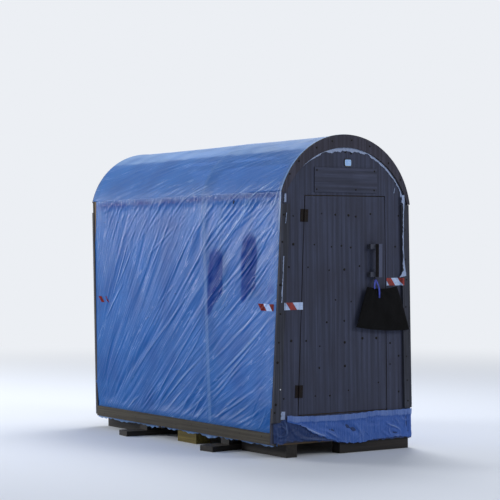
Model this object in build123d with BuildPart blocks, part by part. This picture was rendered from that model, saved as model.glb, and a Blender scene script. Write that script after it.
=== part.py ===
from build123d import *
import os
from math import atan2, cos, hypot, radians, sin, tan

# Ice fishing hut: plywood ends, a light timber frame and a sheet stretched over it.
# The origin is on the ground under the middle, +Z is up and the door looks along -Y.
# Heights of the walls and frame are measured from the underside of the sills.

# Timber and sheet stock
stud = 38                   # side of the square framing timber
sill_depth = 89             # sills and joists stand on edge
board = 19                  # thickness of the nailed boards
board_width = 64            # corner boards
ledge_width = 89            # boards across the back of the door
ply = 12                    # plywood of the ends, door and floor
sheet = 3                   # the stretched sheet, drawn thicker than the real film
touch = 0.3                 # gap where curved or twisted faces meet

# Base
ground_gap = 89             # height of the timbers that the sills lie on
sill_half = 568             # middle to the outer face of a side sill
base_length = 2424          # length of the side sills
joist_count = 4
batten_height = 76          # boards nailed over the sheet at its foot

# Front panel: half widths, and heights up the panel
panel_foot = 12
front_past_left = 40        # the panel is racked: its foot passes the side boards on the left
front_past_right = -16      # and ends short of them on the right
front_spring_half = 538     # half width where the arch starts
front_spring = 1707
front_crown = 2100
arch_band = 90              # width of the arch band at the crown
arch_band_thick = 9
arch_joint = 14             # degrees from the crown to the joints of the band
right_joint = 22            # and to the right one of the front
band_below_spring = 8       # the ends of the band reach this far below the spring line
right_end_below = 84        # and its right end this far

# Back panel, smaller than the front one and leaning back
back_past = -8
back_half_less = 10
back_spring_less = 25
back_crown_less = 28
back_lean = 5.7             # degrees that the middle and back frames lean back
lip = 5                     # the end panels stand out past the frame by this much

# Frame
middle_frame = 795          # front end of the sills to the middle frame
hoop_depth = 64
purlin_angle = 36           # degrees from the crown to a haunch purlin
purlin_width = 38
purlin_depth = 19
purlin_clear = 0.4

# Door, as the places of its corners on the front panel
threshold = 96              # deck to the foot of the door
header_height = 25
door_foot_left = -398
door_head_left = -343
door_foot_right = 359
door_head_right = 337
swing_gap = 6               # gap between the door and the wall round it
post_back = 8               # door posts stand back from the opening
ledge_inset = 40            # ledges end short of the door's edges
ledge_from_end = 134        # end of the door to the middle of its end ledges

# Butt hinges on the face of the door
hinge_height = 86
leaf_width = 32
leaf_thick = 2.5
knuckle_radius = 5
pin_radius = 2.5
pin_gap = 0.3
knuckle_gap = 0.6
hinge_above_foot = 158      # foot of the door to the middle of the lower hinge
hinge_below_head = 132

# Handle
handle_left = 188
handle_length = 73          # stand-off blocks, along the door
handle_block_height = 34
handle_stand_off = 38
handle_block_low = 1138     # height of the middle of the lower block
handle_block_rise = 192
handle_bar_width = 29
handle_bar_thick = 36
handle_bar_height = 230

# Bag hung from the lower block by a clip, in front of the corner board
bag_clear = 7
bag_thick = 18
bag_top_left = -27          # from the left end of the blocks
bag_top_width = 260
bag_foot_left = -122
bag_foot_width = 466
bag_height = 288
bag_foot_sag = 18           # the foot of the bag curves down in the middle
clip_left = 34
clip_length = 68
clip_width = 16
clip_thick = 10

# Boards and fittings on the front
sign_width = 536
sign_height = 170
sign_above_door = 19
sign_thick = 6
board_head_below = 86       # spring line to the heads of the corner boards
left_board_joint = 612      # height of the joint in the left corner board
left_board_foot = 155
right_board_foot = 198
skirt_thick = 14
skirt_below_door = 8
skirt_left_inset = 93
skirt_right_inset = 2
skirt_left_foot = 149
skirt_fall = [(453, -6), (240, -5), (188, -20), (31, -24), (-113, -4), (-225, 42), (-336, 102)]

# Timbers under the hut
runner_size = 89
runner_inset = 100          # side board to the side of a runner
sleeper_clear = 28          # runner to sleeper
sleeper_width = 140
sleeper_thick = 38
sleeper_length = 1480
sleeper_skew = 6            # degrees
front_sleeper = 690         # front end of the sills to the middle of the front sleeper
back_sleeper = 734          # back end of the sills to the middle of the back sleeper
shim_length = 100
front_block_length = 600
front_block_inset = 30
yellow_block_length = 250
yellow_block_width = 120
yellow_block_place = 1010

# Cloth things hung inside the left wall
hung_thick = 22
hung_inset = 11             # outer face of the stringer to the outer face of the strap
hung_strap = 24
hung_width = 200
hung_height = 410
hung_places = [(385, 280), (762, 385)]    # along the hut, and length of the strap

# Values worked out from the sizes above
lean_cos = cos(radians(back_lean))
lean_sin = sin(radians(back_lean))
back_spring_half = front_spring_half - back_half_less
back_spring = front_spring - back_spring_less
back_crown = front_crown - back_crown_less
handle_reach = handle_stand_off + handle_bar_thick
back_reach = back_crown * lean_sin + (ply + arch_band_thick) * lean_cos
overall_length = handle_reach + ply + base_length + back_reach
front_face = handle_reach - overall_length / 2
frame_start = front_face + ply
frame_end = frame_start + base_length
middle_start = frame_start + middle_frame
deck_top = sill_depth + ply
skin_foot = board + sheet + sill_half
front_foot_left = skin_foot + front_past_left
front_foot_right = skin_foot + front_past_right
back_foot_half = skin_foot + back_past
door_foot = deck_top + threshold
door_head = front_spring - header_height - swing_gap
ledge_heights = [door_foot + ledge_from_end, (door_foot + door_head) / 2, door_head - ledge_from_end]
hinge_heights = [door_foot + hinge_above_foot, door_head - hinge_below_head]
board_head = front_spring - board_head_below

os.makedirs("parts", exist_ok=True)


def across(y, lean=0):
    """Plane across the hut that leaves the level of the sills at y and leans back."""
    outward = (0, -cos(radians(lean)), sin(radians(lean)))
    return Plane(origin=(0, y, ground_gap), x_dir=(1, 0, 0), z_dir=outward)


def arch_circle(half, spring, crown):
    """Radius and height of the centre of the arch over a spring line."""
    rise = crown - spring
    radius = (half * half + rise * rise) / (2 * rise)
    return radius, crown - radius


front_radius, front_centre = arch_circle(front_spring_half, front_spring, front_crown)
back_radius, back_centre = arch_circle(back_spring_half, back_spring, back_crown)


def front_arch(angle, inset):
    """Point on the front arch, at an angle from the crown and inside its edge."""
    reach = front_radius - inset
    return reach * sin(radians(angle)), front_centre + reach * cos(radians(angle))


def back_arch_point(angle, inset):
    """The same on the back arch."""
    reach = back_radius - inset
    return reach * sin(radians(angle)), back_centre + reach * cos(radians(angle))


def crossing(front_point, back_point, y, lean):
    """Where a straight member from the front section to the back one crosses a plane."""
    slope = tan(radians(lean))
    x0, z0 = front_point
    x1 = back_point[0]
    z1 = back_point[1] * lean_cos
    y1 = frame_end + back_point[1] * lean_sin
    share = (y + z0 * slope - frame_start) / (y1 - frame_start - (z1 - z0) * slope)
    height = z0 + (z1 - z0) * share
    return x0 + (x1 - x0) * share, height / cos(radians(lean))


def wall_line(side, inset):
    """Points on one side wall at the front and back: deck level and spring line."""
    deck = side * (sill_half - inset)
    front_top = (side * (front_spring_half - lip - inset), front_spring)
    back_top = (side * (back_spring_half - lip - inset), back_spring)
    return (deck, deck_top), front_top, (deck, deck_top / lean_cos), back_top


# Timbers on the ground: runners end short of the skewed sleepers
runner_outer = skin_foot - runner_inset
skew_tan = tan(radians(sleeper_skew))
sleeper_reach = sleeper_width / 2 / cos(radians(sleeper_skew)) + runner_outer * skew_tan + sleeper_clear
with BuildPart() as runners:
    with BuildSketch(Plane.XY):
        with Locations((-runner_outer, frame_start)):
            Rectangle(runner_size, front_sleeper - sleeper_reach, align=(Align.MIN, Align.MIN))
        with Locations((-runner_outer, frame_end)):
            Rectangle(runner_size, back_sleeper - sleeper_reach, align=(Align.MIN, Align.MAX))
        with Locations((runner_outer, frame_end)):
            Rectangle(runner_size, back_sleeper - sleeper_reach, align=(Align.MAX, Align.MAX))
    extrude(amount=ground_gap)

with BuildPart() as front_block:
    with BuildSketch(Plane.XY):
        with Locations((skin_foot - front_block_inset, frame_start)):
            Rectangle(front_block_length, runner_size, align=(Align.MAX, Align.MIN))
    extrude(amount=ground_gap)

# Sleepers lie skewed on the ground and stick out on both sides
sleeper_places = [(frame_start + front_sleeper, 1), (frame_end - back_sleeper, -1)]
with BuildPart() as sleepers:
    with BuildSketch(Plane.XY):
        for place, turn in sleeper_places:
            with Locations((0, place)):
                Rectangle(sleeper_length, sleeper_width, rotation=turn * sleeper_skew)
    extrude(amount=sleeper_thick)

with BuildPart() as sleeper_blocks:
    with BuildSketch(Plane.XY.offset(sleeper_thick)):
        for place, turn in sleeper_places:
            for side in (-1, 1):
                x = side * (sill_half - stud / 2)
                with Locations((x, place + turn * x * skew_tan)):
                    Rectangle(stud, shim_length)
    extrude(amount=ground_gap - sleeper_thick)

with BuildPart() as yellow_block:
    with BuildSketch(Plane.XY):
        with Locations((-sill_half, frame_start + yellow_block_place)):
            Rectangle(yellow_block_width, yellow_block_length, align=(Align.MIN, Align.MIN))
    extrude(amount=ground_gap)

# Floor frame
with BuildPart() as side_sills:
    with BuildSketch(Plane.XY.offset(ground_gap)):
        for side in (-1, 1):
            with Locations((side * (sill_half - stud / 2), frame_start)):
                Rectangle(stud, base_length, align=(Align.CENTER, Align.MIN))
    extrude(amount=sill_depth)

inner_width = 2 * (sill_half - stud)
with BuildPart() as end_sills:
    with BuildSketch(Plane.XY.offset(ground_gap)):
        with Locations((0, frame_start + stud / 2), (0, frame_end - stud / 2)):
            Rectangle(inner_width, stud)
    extrude(amount=sill_depth)

joist_pitch = (base_length - stud) / (joist_count + 1)
with BuildPart() as floor_joists:
    with BuildSketch(Plane.XY.offset(ground_gap)):
        for number in range(joist_count):
            with Locations((0, frame_start + stud / 2 + (number + 1) * joist_pitch)):
                Rectangle(inner_width, stud)
    extrude(amount=sill_depth)

with BuildPart() as floor_deck:
    with BuildSketch(Plane.XY.offset(ground_gap + sill_depth)):
        with Locations((0, frame_start)):
            Rectangle(2 * (sill_half - touch), base_length, align=(Align.CENTER, Align.MIN))
    extrude(amount=ply)

# Boards nailed over the foot of the sheet
with BuildPart() as side_battens:
    with BuildSketch(Plane.XY.offset(ground_gap)):
        for side in (-1, 1):
            with Locations((side * (skin_foot - board / 2), frame_start)):
                Rectangle(board, base_length, align=(Align.CENTER, Align.MIN))
    extrude(amount=batten_height)


def door_edge(foot_x, head_x, height, outward):
    """Point on a side edge of the door, moved outward by some distance."""
    run = head_x - foot_x
    rise = door_head - door_foot
    shift = outward * hypot(run, rise) / rise
    return foot_x + run * (height - door_foot) / rise + shift, height


def panel_edge(side, height):
    """Point on the outer edge of the front panel below the spring line."""
    foot = front_foot_left if side < 0 else front_foot_right
    share = (height - panel_foot) / (front_spring - panel_foot)
    return side * (foot + (front_spring_half - foot) * share), height


head_line = door_head + swing_gap
foot_line = door_foot - swing_gap

# Front wall, split beside, over and under the doorway
with BuildPart() as front_wall_left:
    with BuildSketch(across(front_face)):
        with BuildLine():
            Polyline(
                panel_edge(-1, panel_foot),
                panel_edge(-1, head_line),
                door_edge(door_foot_left, door_head_left, head_line, -swing_gap),
                door_edge(door_foot_left, door_head_left, panel_foot, -swing_gap),
                close=True,
            )
        make_face()
    extrude(amount=-ply)

with BuildPart() as front_wall_right:
    with BuildSketch(across(front_face)):
        with BuildLine():
            Polyline(
                panel_edge(1, panel_foot),
                panel_edge(1, head_line),
                door_edge(door_foot_right, door_head_right, head_line, swing_gap),
                door_edge(door_foot_right, door_head_right, panel_foot, swing_gap),
                close=True,
            )
        make_face()
    extrude(amount=-ply)

with BuildPart() as front_wall_sill:
    with BuildSketch(across(front_face)):
        with BuildLine():
            Polyline(
                door_edge(door_foot_left, door_head_left, panel_foot, -swing_gap),
                door_edge(door_foot_left, door_head_left, foot_line, -swing_gap),
                door_edge(door_foot_right, door_head_right, foot_line, swing_gap),
                door_edge(door_foot_right, door_head_right, panel_foot, swing_gap),
                close=True,
            )
        make_face()
    extrude(amount=-ply)

with BuildPart() as front_wall_top:
    with BuildSketch(across(front_face)):
        with BuildLine():
            ThreePointArc((-front_spring_half, front_spring), (0, front_crown), (front_spring_half, front_spring))
            Polyline(
                (front_spring_half, front_spring),
                panel_edge(1, head_line),
                panel_edge(-1, head_line),
                (-front_spring_half, front_spring),
            )
        make_face()
    extrude(amount=-ply)


def band_sketch(half, spring, crown, start, end, below=band_below_spring):
    """Crescent of the arch band between two angles from the crown, cut level at its ends."""
    radius, centre = arch_circle(half, spring, crown)
    far = 3 * radius
    middle = (start + end) / 2
    with BuildSketch() as band:
        with Locations((0, centre)):
            Circle(radius)
        with Locations((0, centre - arch_band)):
            Circle(radius, mode=Mode.SUBTRACT)
        with Locations((0, spring - below)):
            Rectangle(far, far, align=(Align.CENTER, Align.MIN), mode=Mode.INTERSECT)
        with BuildLine():
            Polyline(
                (0, centre),
                (far * sin(radians(start)), centre + far * cos(radians(start))),
                (far * sin(radians(middle)), centre + far * cos(radians(middle))),
                (far * sin(radians(end)), centre + far * cos(radians(end))),
                close=True,
            )
        make_face(mode=Mode.INTERSECT)
    return band.sketch


# Angles past the ends of the band, which the level cuts shorten
band_end = 80
right_end = 88
with BuildPart() as front_arch_crown:
    with BuildSketch(across(front_face)):
        add(band_sketch(front_spring_half, front_spring, front_crown, -arch_joint, right_joint))
    extrude(amount=arch_band_thick)

with BuildPart() as front_arch_left:
    with BuildSketch(across(front_face)):
        add(band_sketch(front_spring_half, front_spring, front_crown, -band_end, -arch_joint))
    extrude(amount=arch_band_thick)

with BuildPart() as front_arch_right:
    with BuildSketch(across(front_face)):
        add(band_sketch(front_spring_half, front_spring, front_crown, right_joint, right_end, right_end_below))
    extrude(amount=arch_band_thick)

# Back wall, leaning back with the frame behind it
with BuildPart() as back_wall:
    with BuildSketch(across(frame_end, back_lean)):
        with BuildLine():
            ThreePointArc((-back_spring_half, back_spring), (0, back_crown), (back_spring_half, back_spring))
            Polyline(
                (back_spring_half, back_spring),
                (back_foot_half, panel_foot),
                (-back_foot_half, panel_foot),
                (-back_spring_half, back_spring),
            )
        make_face()
    extrude(amount=-ply)

back_face = across(frame_end, back_lean).offset(-ply)
with BuildPart() as back_arch_crown:
    with BuildSketch(back_face):
        add(band_sketch(back_spring_half, back_spring, back_crown, -arch_joint, arch_joint))
    extrude(amount=-arch_band_thick)

with BuildPart() as back_arch_sides:
    with BuildSketch(back_face):
        add(band_sketch(back_spring_half, back_spring, back_crown, -band_end, -arch_joint))
        add(band_sketch(back_spring_half, back_spring, back_crown, arch_joint, band_end))
    extrude(amount=-arch_band_thick)


def corner_board(side, low, high):
    """Outline of a board along one side edge of the front panel."""
    inset = -side * board_width
    low_x = panel_edge(side, low)[0]
    high_x = panel_edge(side, high)[0]
    with BuildLine() as outline:
        Polyline((low_x, low), (high_x, high), (high_x + inset, high), (low_x + inset, low), close=True)
    return outline.line


with BuildPart() as corner_boards_left:
    for low, high in ((left_board_foot, left_board_joint - touch), (left_board_joint, board_head)):
        with BuildSketch(across(front_face)):
            add(corner_board(-1, low, high))
            make_face()
        extrude(amount=board)

with BuildPart() as corner_board_right:
    with BuildSketch(across(front_face)):
        add(corner_board(1, right_board_foot, board_head))
        make_face()
    extrude(amount=board)

with BuildPart() as back_corner_boards:
    with BuildSketch(back_face):
        for side in (-1, 1):
            foot_x = side * back_foot_half
            head_x = side * back_spring_half
            with BuildLine():
                Polyline(
                    (foot_x, panel_foot),
                    (head_x, board_head - front_spring + back_spring),
                    (head_x - side * board_width, board_head - front_spring + back_spring),
                    (foot_x - side * board_width, panel_foot),
                    close=True,
                )
            make_face()
    extrude(amount=-board)


def wall_stud(side, plane_y, lean):
    """Corners of a stud against a side wall, in the plane of its frame."""
    deck_front, top_front, deck_back, top_back = wall_line(side, touch)
    foot = crossing(deck_front, deck_back, plane_y, lean)
    head = crossing(top_front, top_back, plane_y, lean)
    inward = -side * stud
    below = ply
    slant = (head[0] - foot[0]) / (head[1] - foot[1])
    low = (foot[0] - slant * below, foot[1] - below)
    return low, head, (head[0] + inward, head[1]), (low[0] + inward, low[1])


# Front, middle and back frame: where each starts and how far it leans
back_stud_start = frame_end - stud / lean_cos
frames = [(frame_start, 0), (middle_start, back_lean), (back_stud_start, back_lean)]
deck_plane = Plane.XY.offset(ground_gap + deck_top)
with BuildPart() as wall_studs:
    for start_y, lean in frames:
        with BuildSketch(across(start_y, lean)):
            for side in (-1, 1):
                with BuildLine():
                    Polyline(*wall_stud(side, start_y, lean), close=True)
                make_face()
        extrude(amount=-stud)
    split(bisect_by=deck_plane, keep=Keep.TOP)


def hoop_sketch(plane_y, lean):
    """Arched rib over the spring line, in the plane of its frame."""
    half, spring = crossing(wall_line(1, touch)[1], wall_line(1, touch)[3], plane_y, lean)
    far_face = plane_y + stud / cos(radians(lean))
    crown = crossing(front_arch(0, lip + touch), back_arch_point(0, lip + touch), far_face, lean)[1]
    radius, centre = arch_circle(half, spring, crown)
    with BuildSketch() as hoop:
        with Locations((0, centre)):
            Circle(radius)
            Circle(radius - hoop_depth, mode=Mode.SUBTRACT)
        with Locations((0, spring)):
            Rectangle(2 * radius, 2 * radius, align=(Align.CENTER, Align.MIN), mode=Mode.INTERSECT)
    return hoop.sketch


with BuildPart() as roof_hoops:
    for start_y, lean in frames:
        with BuildSketch(across(start_y, lean)):
            add(hoop_sketch(start_y, lean))
        extrude(amount=-stud)

# Posts beside the doorway and the header over it
with BuildPart() as door_posts:
    with BuildSketch(across(frame_start)):
        for foot_x, head_x, side in (
            (door_foot_left, door_head_left, -1),
            (door_foot_right, door_head_right, 1),
        ):
            near = side * (swing_gap + post_back)
            far = near + side * stud
            with BuildLine():
                Polyline(
                    door_edge(foot_x, head_x, deck_top, near),
                    door_edge(foot_x, head_x, head_line, near),
                    door_edge(foot_x, head_x, head_line, far),
                    door_edge(foot_x, head_x, deck_top, far),
                    close=True,
                )
            make_face()
    extrude(amount=-stud)

header_half = crossing(wall_line(1, 0)[1], wall_line(1, 0)[3], frame_start, 0)[0] - stud - touch
with BuildPart() as door_header:
    with BuildSketch(across(frame_start)):
        with BuildLine():
            Polyline(
                (-header_half, head_line),
                (-header_half, front_spring),
                (header_half, front_spring),
                (header_half, head_line),
                close=True,
            )
        make_face()
    extrude(amount=-stud)

# Straight members between the frames, in two bays each
bays = [
    (frame_start + stud, 0, middle_start),
    (middle_start + stud / lean_cos, back_lean, back_stud_start),
]


def stringer_corners(side, plane_y, lean):
    """Corners of the stringer under the spring line."""
    half, spring = crossing(wall_line(side, touch)[1], wall_line(side, touch)[3], plane_y, lean)
    inner = half - side * stud
    return (half, spring), (inner, spring), (inner, spring - stud), (half, spring - stud)


with BuildPart() as eave_stringers:
    for start_y, start_lean, end_y in bays:
        for side in (-1, 1):
            with BuildSketch(across(start_y, start_lean)):
                with BuildLine():
                    Polyline(*stringer_corners(side, start_y, start_lean), close=True)
                make_face()
            with BuildSketch(across(end_y, back_lean)):
                with BuildLine():
                    Polyline(*stringer_corners(side, end_y, back_lean), close=True)
                make_face()
            loft(ruled=True)

purlin_inset = lip + touch + purlin_depth / 2 + purlin_clear
with BuildPart() as roof_purlins:
    for start_y, start_lean, end_y in bays:
        for angle in (-purlin_angle, 0, purlin_angle):
            front_point = front_arch(angle, purlin_inset)
            back_point = back_arch_point(angle, purlin_inset)
            with BuildSketch(across(start_y, start_lean)):
                with Locations(crossing(front_point, back_point, start_y, start_lean)):
                    Rectangle(purlin_width, purlin_depth, rotation=-angle)
            with BuildSketch(across(end_y, back_lean)):
                with Locations(crossing(front_point, back_point, end_y, back_lean)):
                    Rectangle(purlin_width, purlin_depth, rotation=-angle)
            loft(ruled=True)

# The sheet, in a strip for each side wall and three over the roof
def wall_strip(side, top):
    """Section of the sheet on a side wall, from the foot of the sill to the spring line."""
    deck_half = side * sill_half
    thick = side * sheet
    with BuildLine() as outline:
        Polyline(
            (deck_half, 0),
            (deck_half, deck_top),
            (top[0], top[1] - touch),
            (top[0] + thick, top[1] - touch),
            (deck_half + thick, deck_top),
            (deck_half + thick, 0),
            close=True,
        )
    return outline.line


def roof_strip(half, spring, crown, start, end):
    """Section of the sheet over the roof between two shares of the way down to the spring line."""
    radius, centre = arch_circle(half, spring, crown)
    outer = radius + sheet
    spring_angle = atan2(half, spring - centre)

    def point(reach, share):
        angle = share * spring_angle
        return reach * sin(angle), centre + reach * cos(angle)

    middle = (start + end) / 2
    with BuildLine() as outline:
        ThreePointArc(point(radius, start), point(radius, middle), point(radius, end))
        Line(point(radius, end), point(outer, end))
        ThreePointArc(point(outer, end), point(outer, middle), point(outer, start))
        Line(point(outer, start), point(radius, start))
    return outline.line


def wall_cover(side):
    """Sheet on one side wall."""
    front_top = (side * (front_spring_half - lip), front_spring)
    back_top = (side * (back_spring_half - lip), back_spring)
    with BuildPart() as cover:
        with BuildSketch(across(frame_start)):
            add(wall_strip(side, front_top))
            make_face()
        with BuildSketch(across(frame_end, back_lean)):
            add(wall_strip(side, back_top))
            make_face()
        loft(ruled=True)
    return cover.part


def roof_cover(start, end):
    """Sheet over one strip of the roof."""
    with BuildPart() as cover:
        with BuildSketch(across(frame_start)):
            add(roof_strip(front_spring_half - lip, front_spring, front_crown - lip, start, end))
            make_face()
        with BuildSketch(across(frame_end, back_lean)):
            add(roof_strip(back_spring_half - lip, back_spring, back_crown - lip, start, end))
            make_face()
        loft(ruled=True)
    return cover.part


with BuildPart() as cover_left:
    add(wall_cover(-1))
with BuildPart() as cover_right:
    add(wall_cover(1))

# The strips of the roof meet over the haunch purlins and end at the spring line
haunch_share = radians(purlin_angle) / atan2(front_spring_half - lip, front_spring - front_centre)
with BuildPart() as cover_haunch_left:
    add(roof_cover(-1, -haunch_share))
with BuildPart() as cover_crown:
    add(roof_cover(-haunch_share, haunch_share))
with BuildPart() as cover_haunch_right:
    add(roof_cover(haunch_share, 1))

# Sheet skirt nailed under the door
skirt_left = skirt_left_inset - skin_foot
skirt_right = skin_foot - skirt_right_inset
skirt_top = door_foot - skirt_below_door
with BuildPart() as front_skirt:
    with BuildSketch(across(front_face)):
        with BuildLine():
            Line((skirt_left, skirt_left_foot), (skirt_left, skirt_top))
            Line((skirt_left, skirt_top), (skirt_right, skirt_top))
            Line((skirt_right, skirt_top), (skirt_right, skirt_fall[0][1]))
            Polyline((skirt_right, skirt_fall[0][1]), *skirt_fall, (skirt_left, skirt_left_foot))
        make_face()
    extrude(amount=skirt_thick)

with BuildPart() as sign_board:
    with BuildSketch(across(front_face)):
        with Locations((0, head_line + sign_above_door)):
            Rectangle(sign_width, sign_height, align=(Align.CENTER, Align.MIN))
    extrude(amount=sign_thick)

# Hinges: the pin line runs up the middle of the gap beside the door, clear of the face
axis_out = knuckle_radius + touch
axis_foot = door_edge(door_foot_left, door_head_left, 0, -swing_gap / 2)
axis_head = door_edge(door_foot_left, door_head_left, front_spring, -swing_gap / 2)
axis_length = hypot(axis_head[0] - axis_foot[0], front_spring)
axis_dir = Vector((axis_head[0] - axis_foot[0]) / axis_length, 0, front_spring / axis_length)
axis_across = Vector(axis_dir.Z, 0, -axis_dir.X)
axis_origin = Vector(axis_foot[0], front_face - axis_out, ground_gap)


def hinge_plane(height):
    """Plane square to the pin line, at a height up it."""
    return Plane(origin=axis_origin + axis_dir * height, x_dir=axis_across, z_dir=axis_dir)


knuckle = hinge_height / 3
leaf_start = knuckle_radius + pin_gap
with BuildPart() as hinge_wall_leaves:
    for middle in hinge_heights:
        low = middle - hinge_height / 2
        with BuildSketch(hinge_plane(low)):
            with Locations((-leaf_start, axis_out)):
                Rectangle(leaf_width - leaf_start, leaf_thick, align=(Align.MAX, Align.MAX))
        extrude(amount=hinge_height)
        for start in (low, low + 2 * knuckle + knuckle_gap):
            with BuildSketch(hinge_plane(start)):
                Circle(knuckle_radius)
                with Locations((0, axis_out)):
                    Rectangle(leaf_start, leaf_thick, align=(Align.MAX, Align.MAX))
            extrude(amount=knuckle - knuckle_gap)
        with BuildSketch(hinge_plane(low)):
            Circle(pin_radius)
        extrude(amount=hinge_height)

with BuildPart() as hinge_door_leaves:
    for middle in hinge_heights:
        low = middle - hinge_height / 2
        with BuildSketch(hinge_plane(low)):
            with Locations((leaf_start, axis_out)):
                Rectangle(leaf_width - leaf_start, leaf_thick, align=(Align.MIN, Align.MAX))
        extrude(amount=hinge_height)
        with BuildSketch(hinge_plane(low + knuckle + knuckle_gap / 2)):
            Circle(knuckle_radius)
            with Locations((0, axis_out)):
                Rectangle(leaf_start, leaf_thick, align=(Align.MIN, Align.MAX))
            Circle(pin_radius + pin_gap, mode=Mode.SUBTRACT)
        extrude(amount=knuckle - knuckle_gap)

# Door
with BuildPart() as door_panel:
    with BuildSketch(across(front_face)):
        with BuildLine():
            Polyline(
                (door_foot_left, door_foot),
                (door_head_left, door_head),
                (door_head_right, door_head),
                (door_foot_right, door_foot),
                close=True,
            )
        make_face()
    extrude(amount=-ply)

with BuildPart() as door_ledges:
    with BuildSketch(across(front_face + ply)):
        for height in ledge_heights:
            low = height - ledge_width / 2
            high = height + ledge_width / 2
            with BuildLine():
                Polyline(
                    door_edge(door_foot_left, door_head_left, low, ledge_inset),
                    door_edge(door_foot_left, door_head_left, high, ledge_inset),
                    door_edge(door_foot_right, door_head_right, high, -ledge_inset),
                    door_edge(door_foot_right, door_head_right, low, -ledge_inset),
                    close=True,
                )
            make_face()
    extrude(amount=-board)

handle_heights = [handle_block_low, handle_block_low + handle_block_rise]
with BuildPart() as handle_stand_offs:
    with BuildSketch(across(front_face)):
        for height in handle_heights:
            with Locations((handle_left, height)):
                Rectangle(handle_length, handle_block_height, align=(Align.MIN, Align.CENTER))
    extrude(amount=handle_stand_off)

with BuildPart() as handle_bar:
    with BuildSketch(across(front_face - handle_stand_off)):
        with Locations((handle_left + handle_length, sum(handle_heights) / 2)):
            Rectangle(handle_bar_width, handle_bar_height, align=(Align.MAX, Align.CENTER))
    extrude(amount=handle_bar_thick)

# Cloth bag hung from the handle by a clip, clear of the corner board
bag_plane = across(front_face - board - bag_clear)
clip_top = handle_block_low - handle_block_height / 2
bag_top = clip_top - clip_length
bag_foot = bag_top - bag_height
top_left = handle_left + bag_top_left
foot_left = handle_left + bag_foot_left
foot_right = foot_left + bag_foot_width
with BuildPart() as hanging_bag:
    with BuildSketch(bag_plane):
        with BuildLine():
            foot_middle = ((foot_left + foot_right) / 2, bag_foot - bag_foot_sag)
            ThreePointArc((foot_left, bag_foot), foot_middle, (foot_right, bag_foot))
            Polyline(
                (foot_right, bag_foot),
                (top_left + bag_top_width, bag_top),
                (top_left, bag_top),
                (foot_left, bag_foot),
            )
        make_face()
    extrude(amount=bag_thick)

with BuildPart() as bag_clip:
    with BuildSketch(bag_plane):
        with Locations((handle_left + clip_left, bag_top)):
            Rectangle(clip_width, clip_length, align=(Align.MIN, Align.MIN))
    extrude(amount=clip_thick)

# Cloth things hung from the left stringer by a strap, close behind the sheet
with BuildPart() as hung_cloths:
    for place, strap in hung_places:
        stringer = stringer_corners(-1, frame_start + place, 0)
        strap_top = stringer[2][1] - touch
        hung_top = strap_top - strap
        hung_plane = Plane(
            origin=(stringer[0][0] + hung_inset, frame_start + place, ground_gap),
            x_dir=(0, 1, 0),
            z_dir=(1, 0, 0),
        )
        with BuildSketch(hung_plane):
            with Locations((0, hung_top)):
                Rectangle(hung_width, hung_height, align=(Align.CENTER, Align.MAX))
                Rectangle(hung_strap, strap, align=(Align.CENTER, Align.MIN))
        extrude(amount=hung_thick)

pieces = {
    "runners": runners,
    "front_block": front_block,
    "sleepers": sleepers,
    "sleeper_blocks": sleeper_blocks,
    "yellow_block": yellow_block,
    "side_sills": side_sills,
    "end_sills": end_sills,
    "floor_joists": floor_joists,
    "floor_deck": floor_deck,
    "side_battens": side_battens,
    "front_wall_left": front_wall_left,
    "front_wall_right": front_wall_right,
    "front_wall_sill": front_wall_sill,
    "front_wall_top": front_wall_top,
    "front_arch_left": front_arch_left,
    "front_arch_crown": front_arch_crown,
    "front_arch_right": front_arch_right,
    "back_wall": back_wall,
    "back_arch_crown": back_arch_crown,
    "back_arch_sides": back_arch_sides,
    "corner_boards_left": corner_boards_left,
    "corner_board_right": corner_board_right,
    "back_corner_boards": back_corner_boards,
    "wall_studs": wall_studs,
    "roof_hoops": roof_hoops,
    "door_posts": door_posts,
    "door_header": door_header,
    "eave_stringers": eave_stringers,
    "roof_purlins": roof_purlins,
    "cover_left": cover_left,
    "cover_right": cover_right,
    "cover_haunch_left": cover_haunch_left,
    "cover_crown": cover_crown,
    "cover_haunch_right": cover_haunch_right,
    "front_skirt": front_skirt,
    "sign_board": sign_board,
    "hung_cloths": hung_cloths,
    "hinge_wall_leaves": hinge_wall_leaves,
    "hinge_door_leaves": hinge_door_leaves,
    "door_panel": door_panel,
    "door_ledges": door_ledges,
    "handle_stand_offs": handle_stand_offs,
    "handle_bar": handle_bar,
    "hanging_bag": hanging_bag,
    "bag_clip": bag_clip,
}
for name, piece in pieces.items():
    piece.part.label = name
    export_step(piece.part, f"parts/{name}.step")

print("hinge pin line: point", axis_origin, "direction", axis_dir)
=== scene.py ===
"""Ice fishing hut: its finishes, the stretched film with its wrinkles, and the small fittings."""
from math import atan2, cos, pi, radians, sin

import bmesh
import bpy
import numpy as np
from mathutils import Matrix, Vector


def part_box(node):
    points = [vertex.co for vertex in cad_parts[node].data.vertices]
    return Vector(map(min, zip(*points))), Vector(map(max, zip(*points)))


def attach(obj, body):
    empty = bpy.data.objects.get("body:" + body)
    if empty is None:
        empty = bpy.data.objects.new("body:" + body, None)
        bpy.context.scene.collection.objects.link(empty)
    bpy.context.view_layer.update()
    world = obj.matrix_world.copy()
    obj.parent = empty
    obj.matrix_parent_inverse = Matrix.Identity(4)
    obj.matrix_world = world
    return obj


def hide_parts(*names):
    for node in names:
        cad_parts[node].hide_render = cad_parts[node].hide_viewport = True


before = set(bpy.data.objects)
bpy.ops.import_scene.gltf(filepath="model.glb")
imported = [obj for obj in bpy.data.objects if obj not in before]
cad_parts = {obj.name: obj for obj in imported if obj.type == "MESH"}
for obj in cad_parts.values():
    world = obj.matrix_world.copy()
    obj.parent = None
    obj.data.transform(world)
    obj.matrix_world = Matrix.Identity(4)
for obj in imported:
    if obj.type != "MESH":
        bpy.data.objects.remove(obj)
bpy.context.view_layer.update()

# Places taken from the frame, in metres
MM = 0.001
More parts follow.
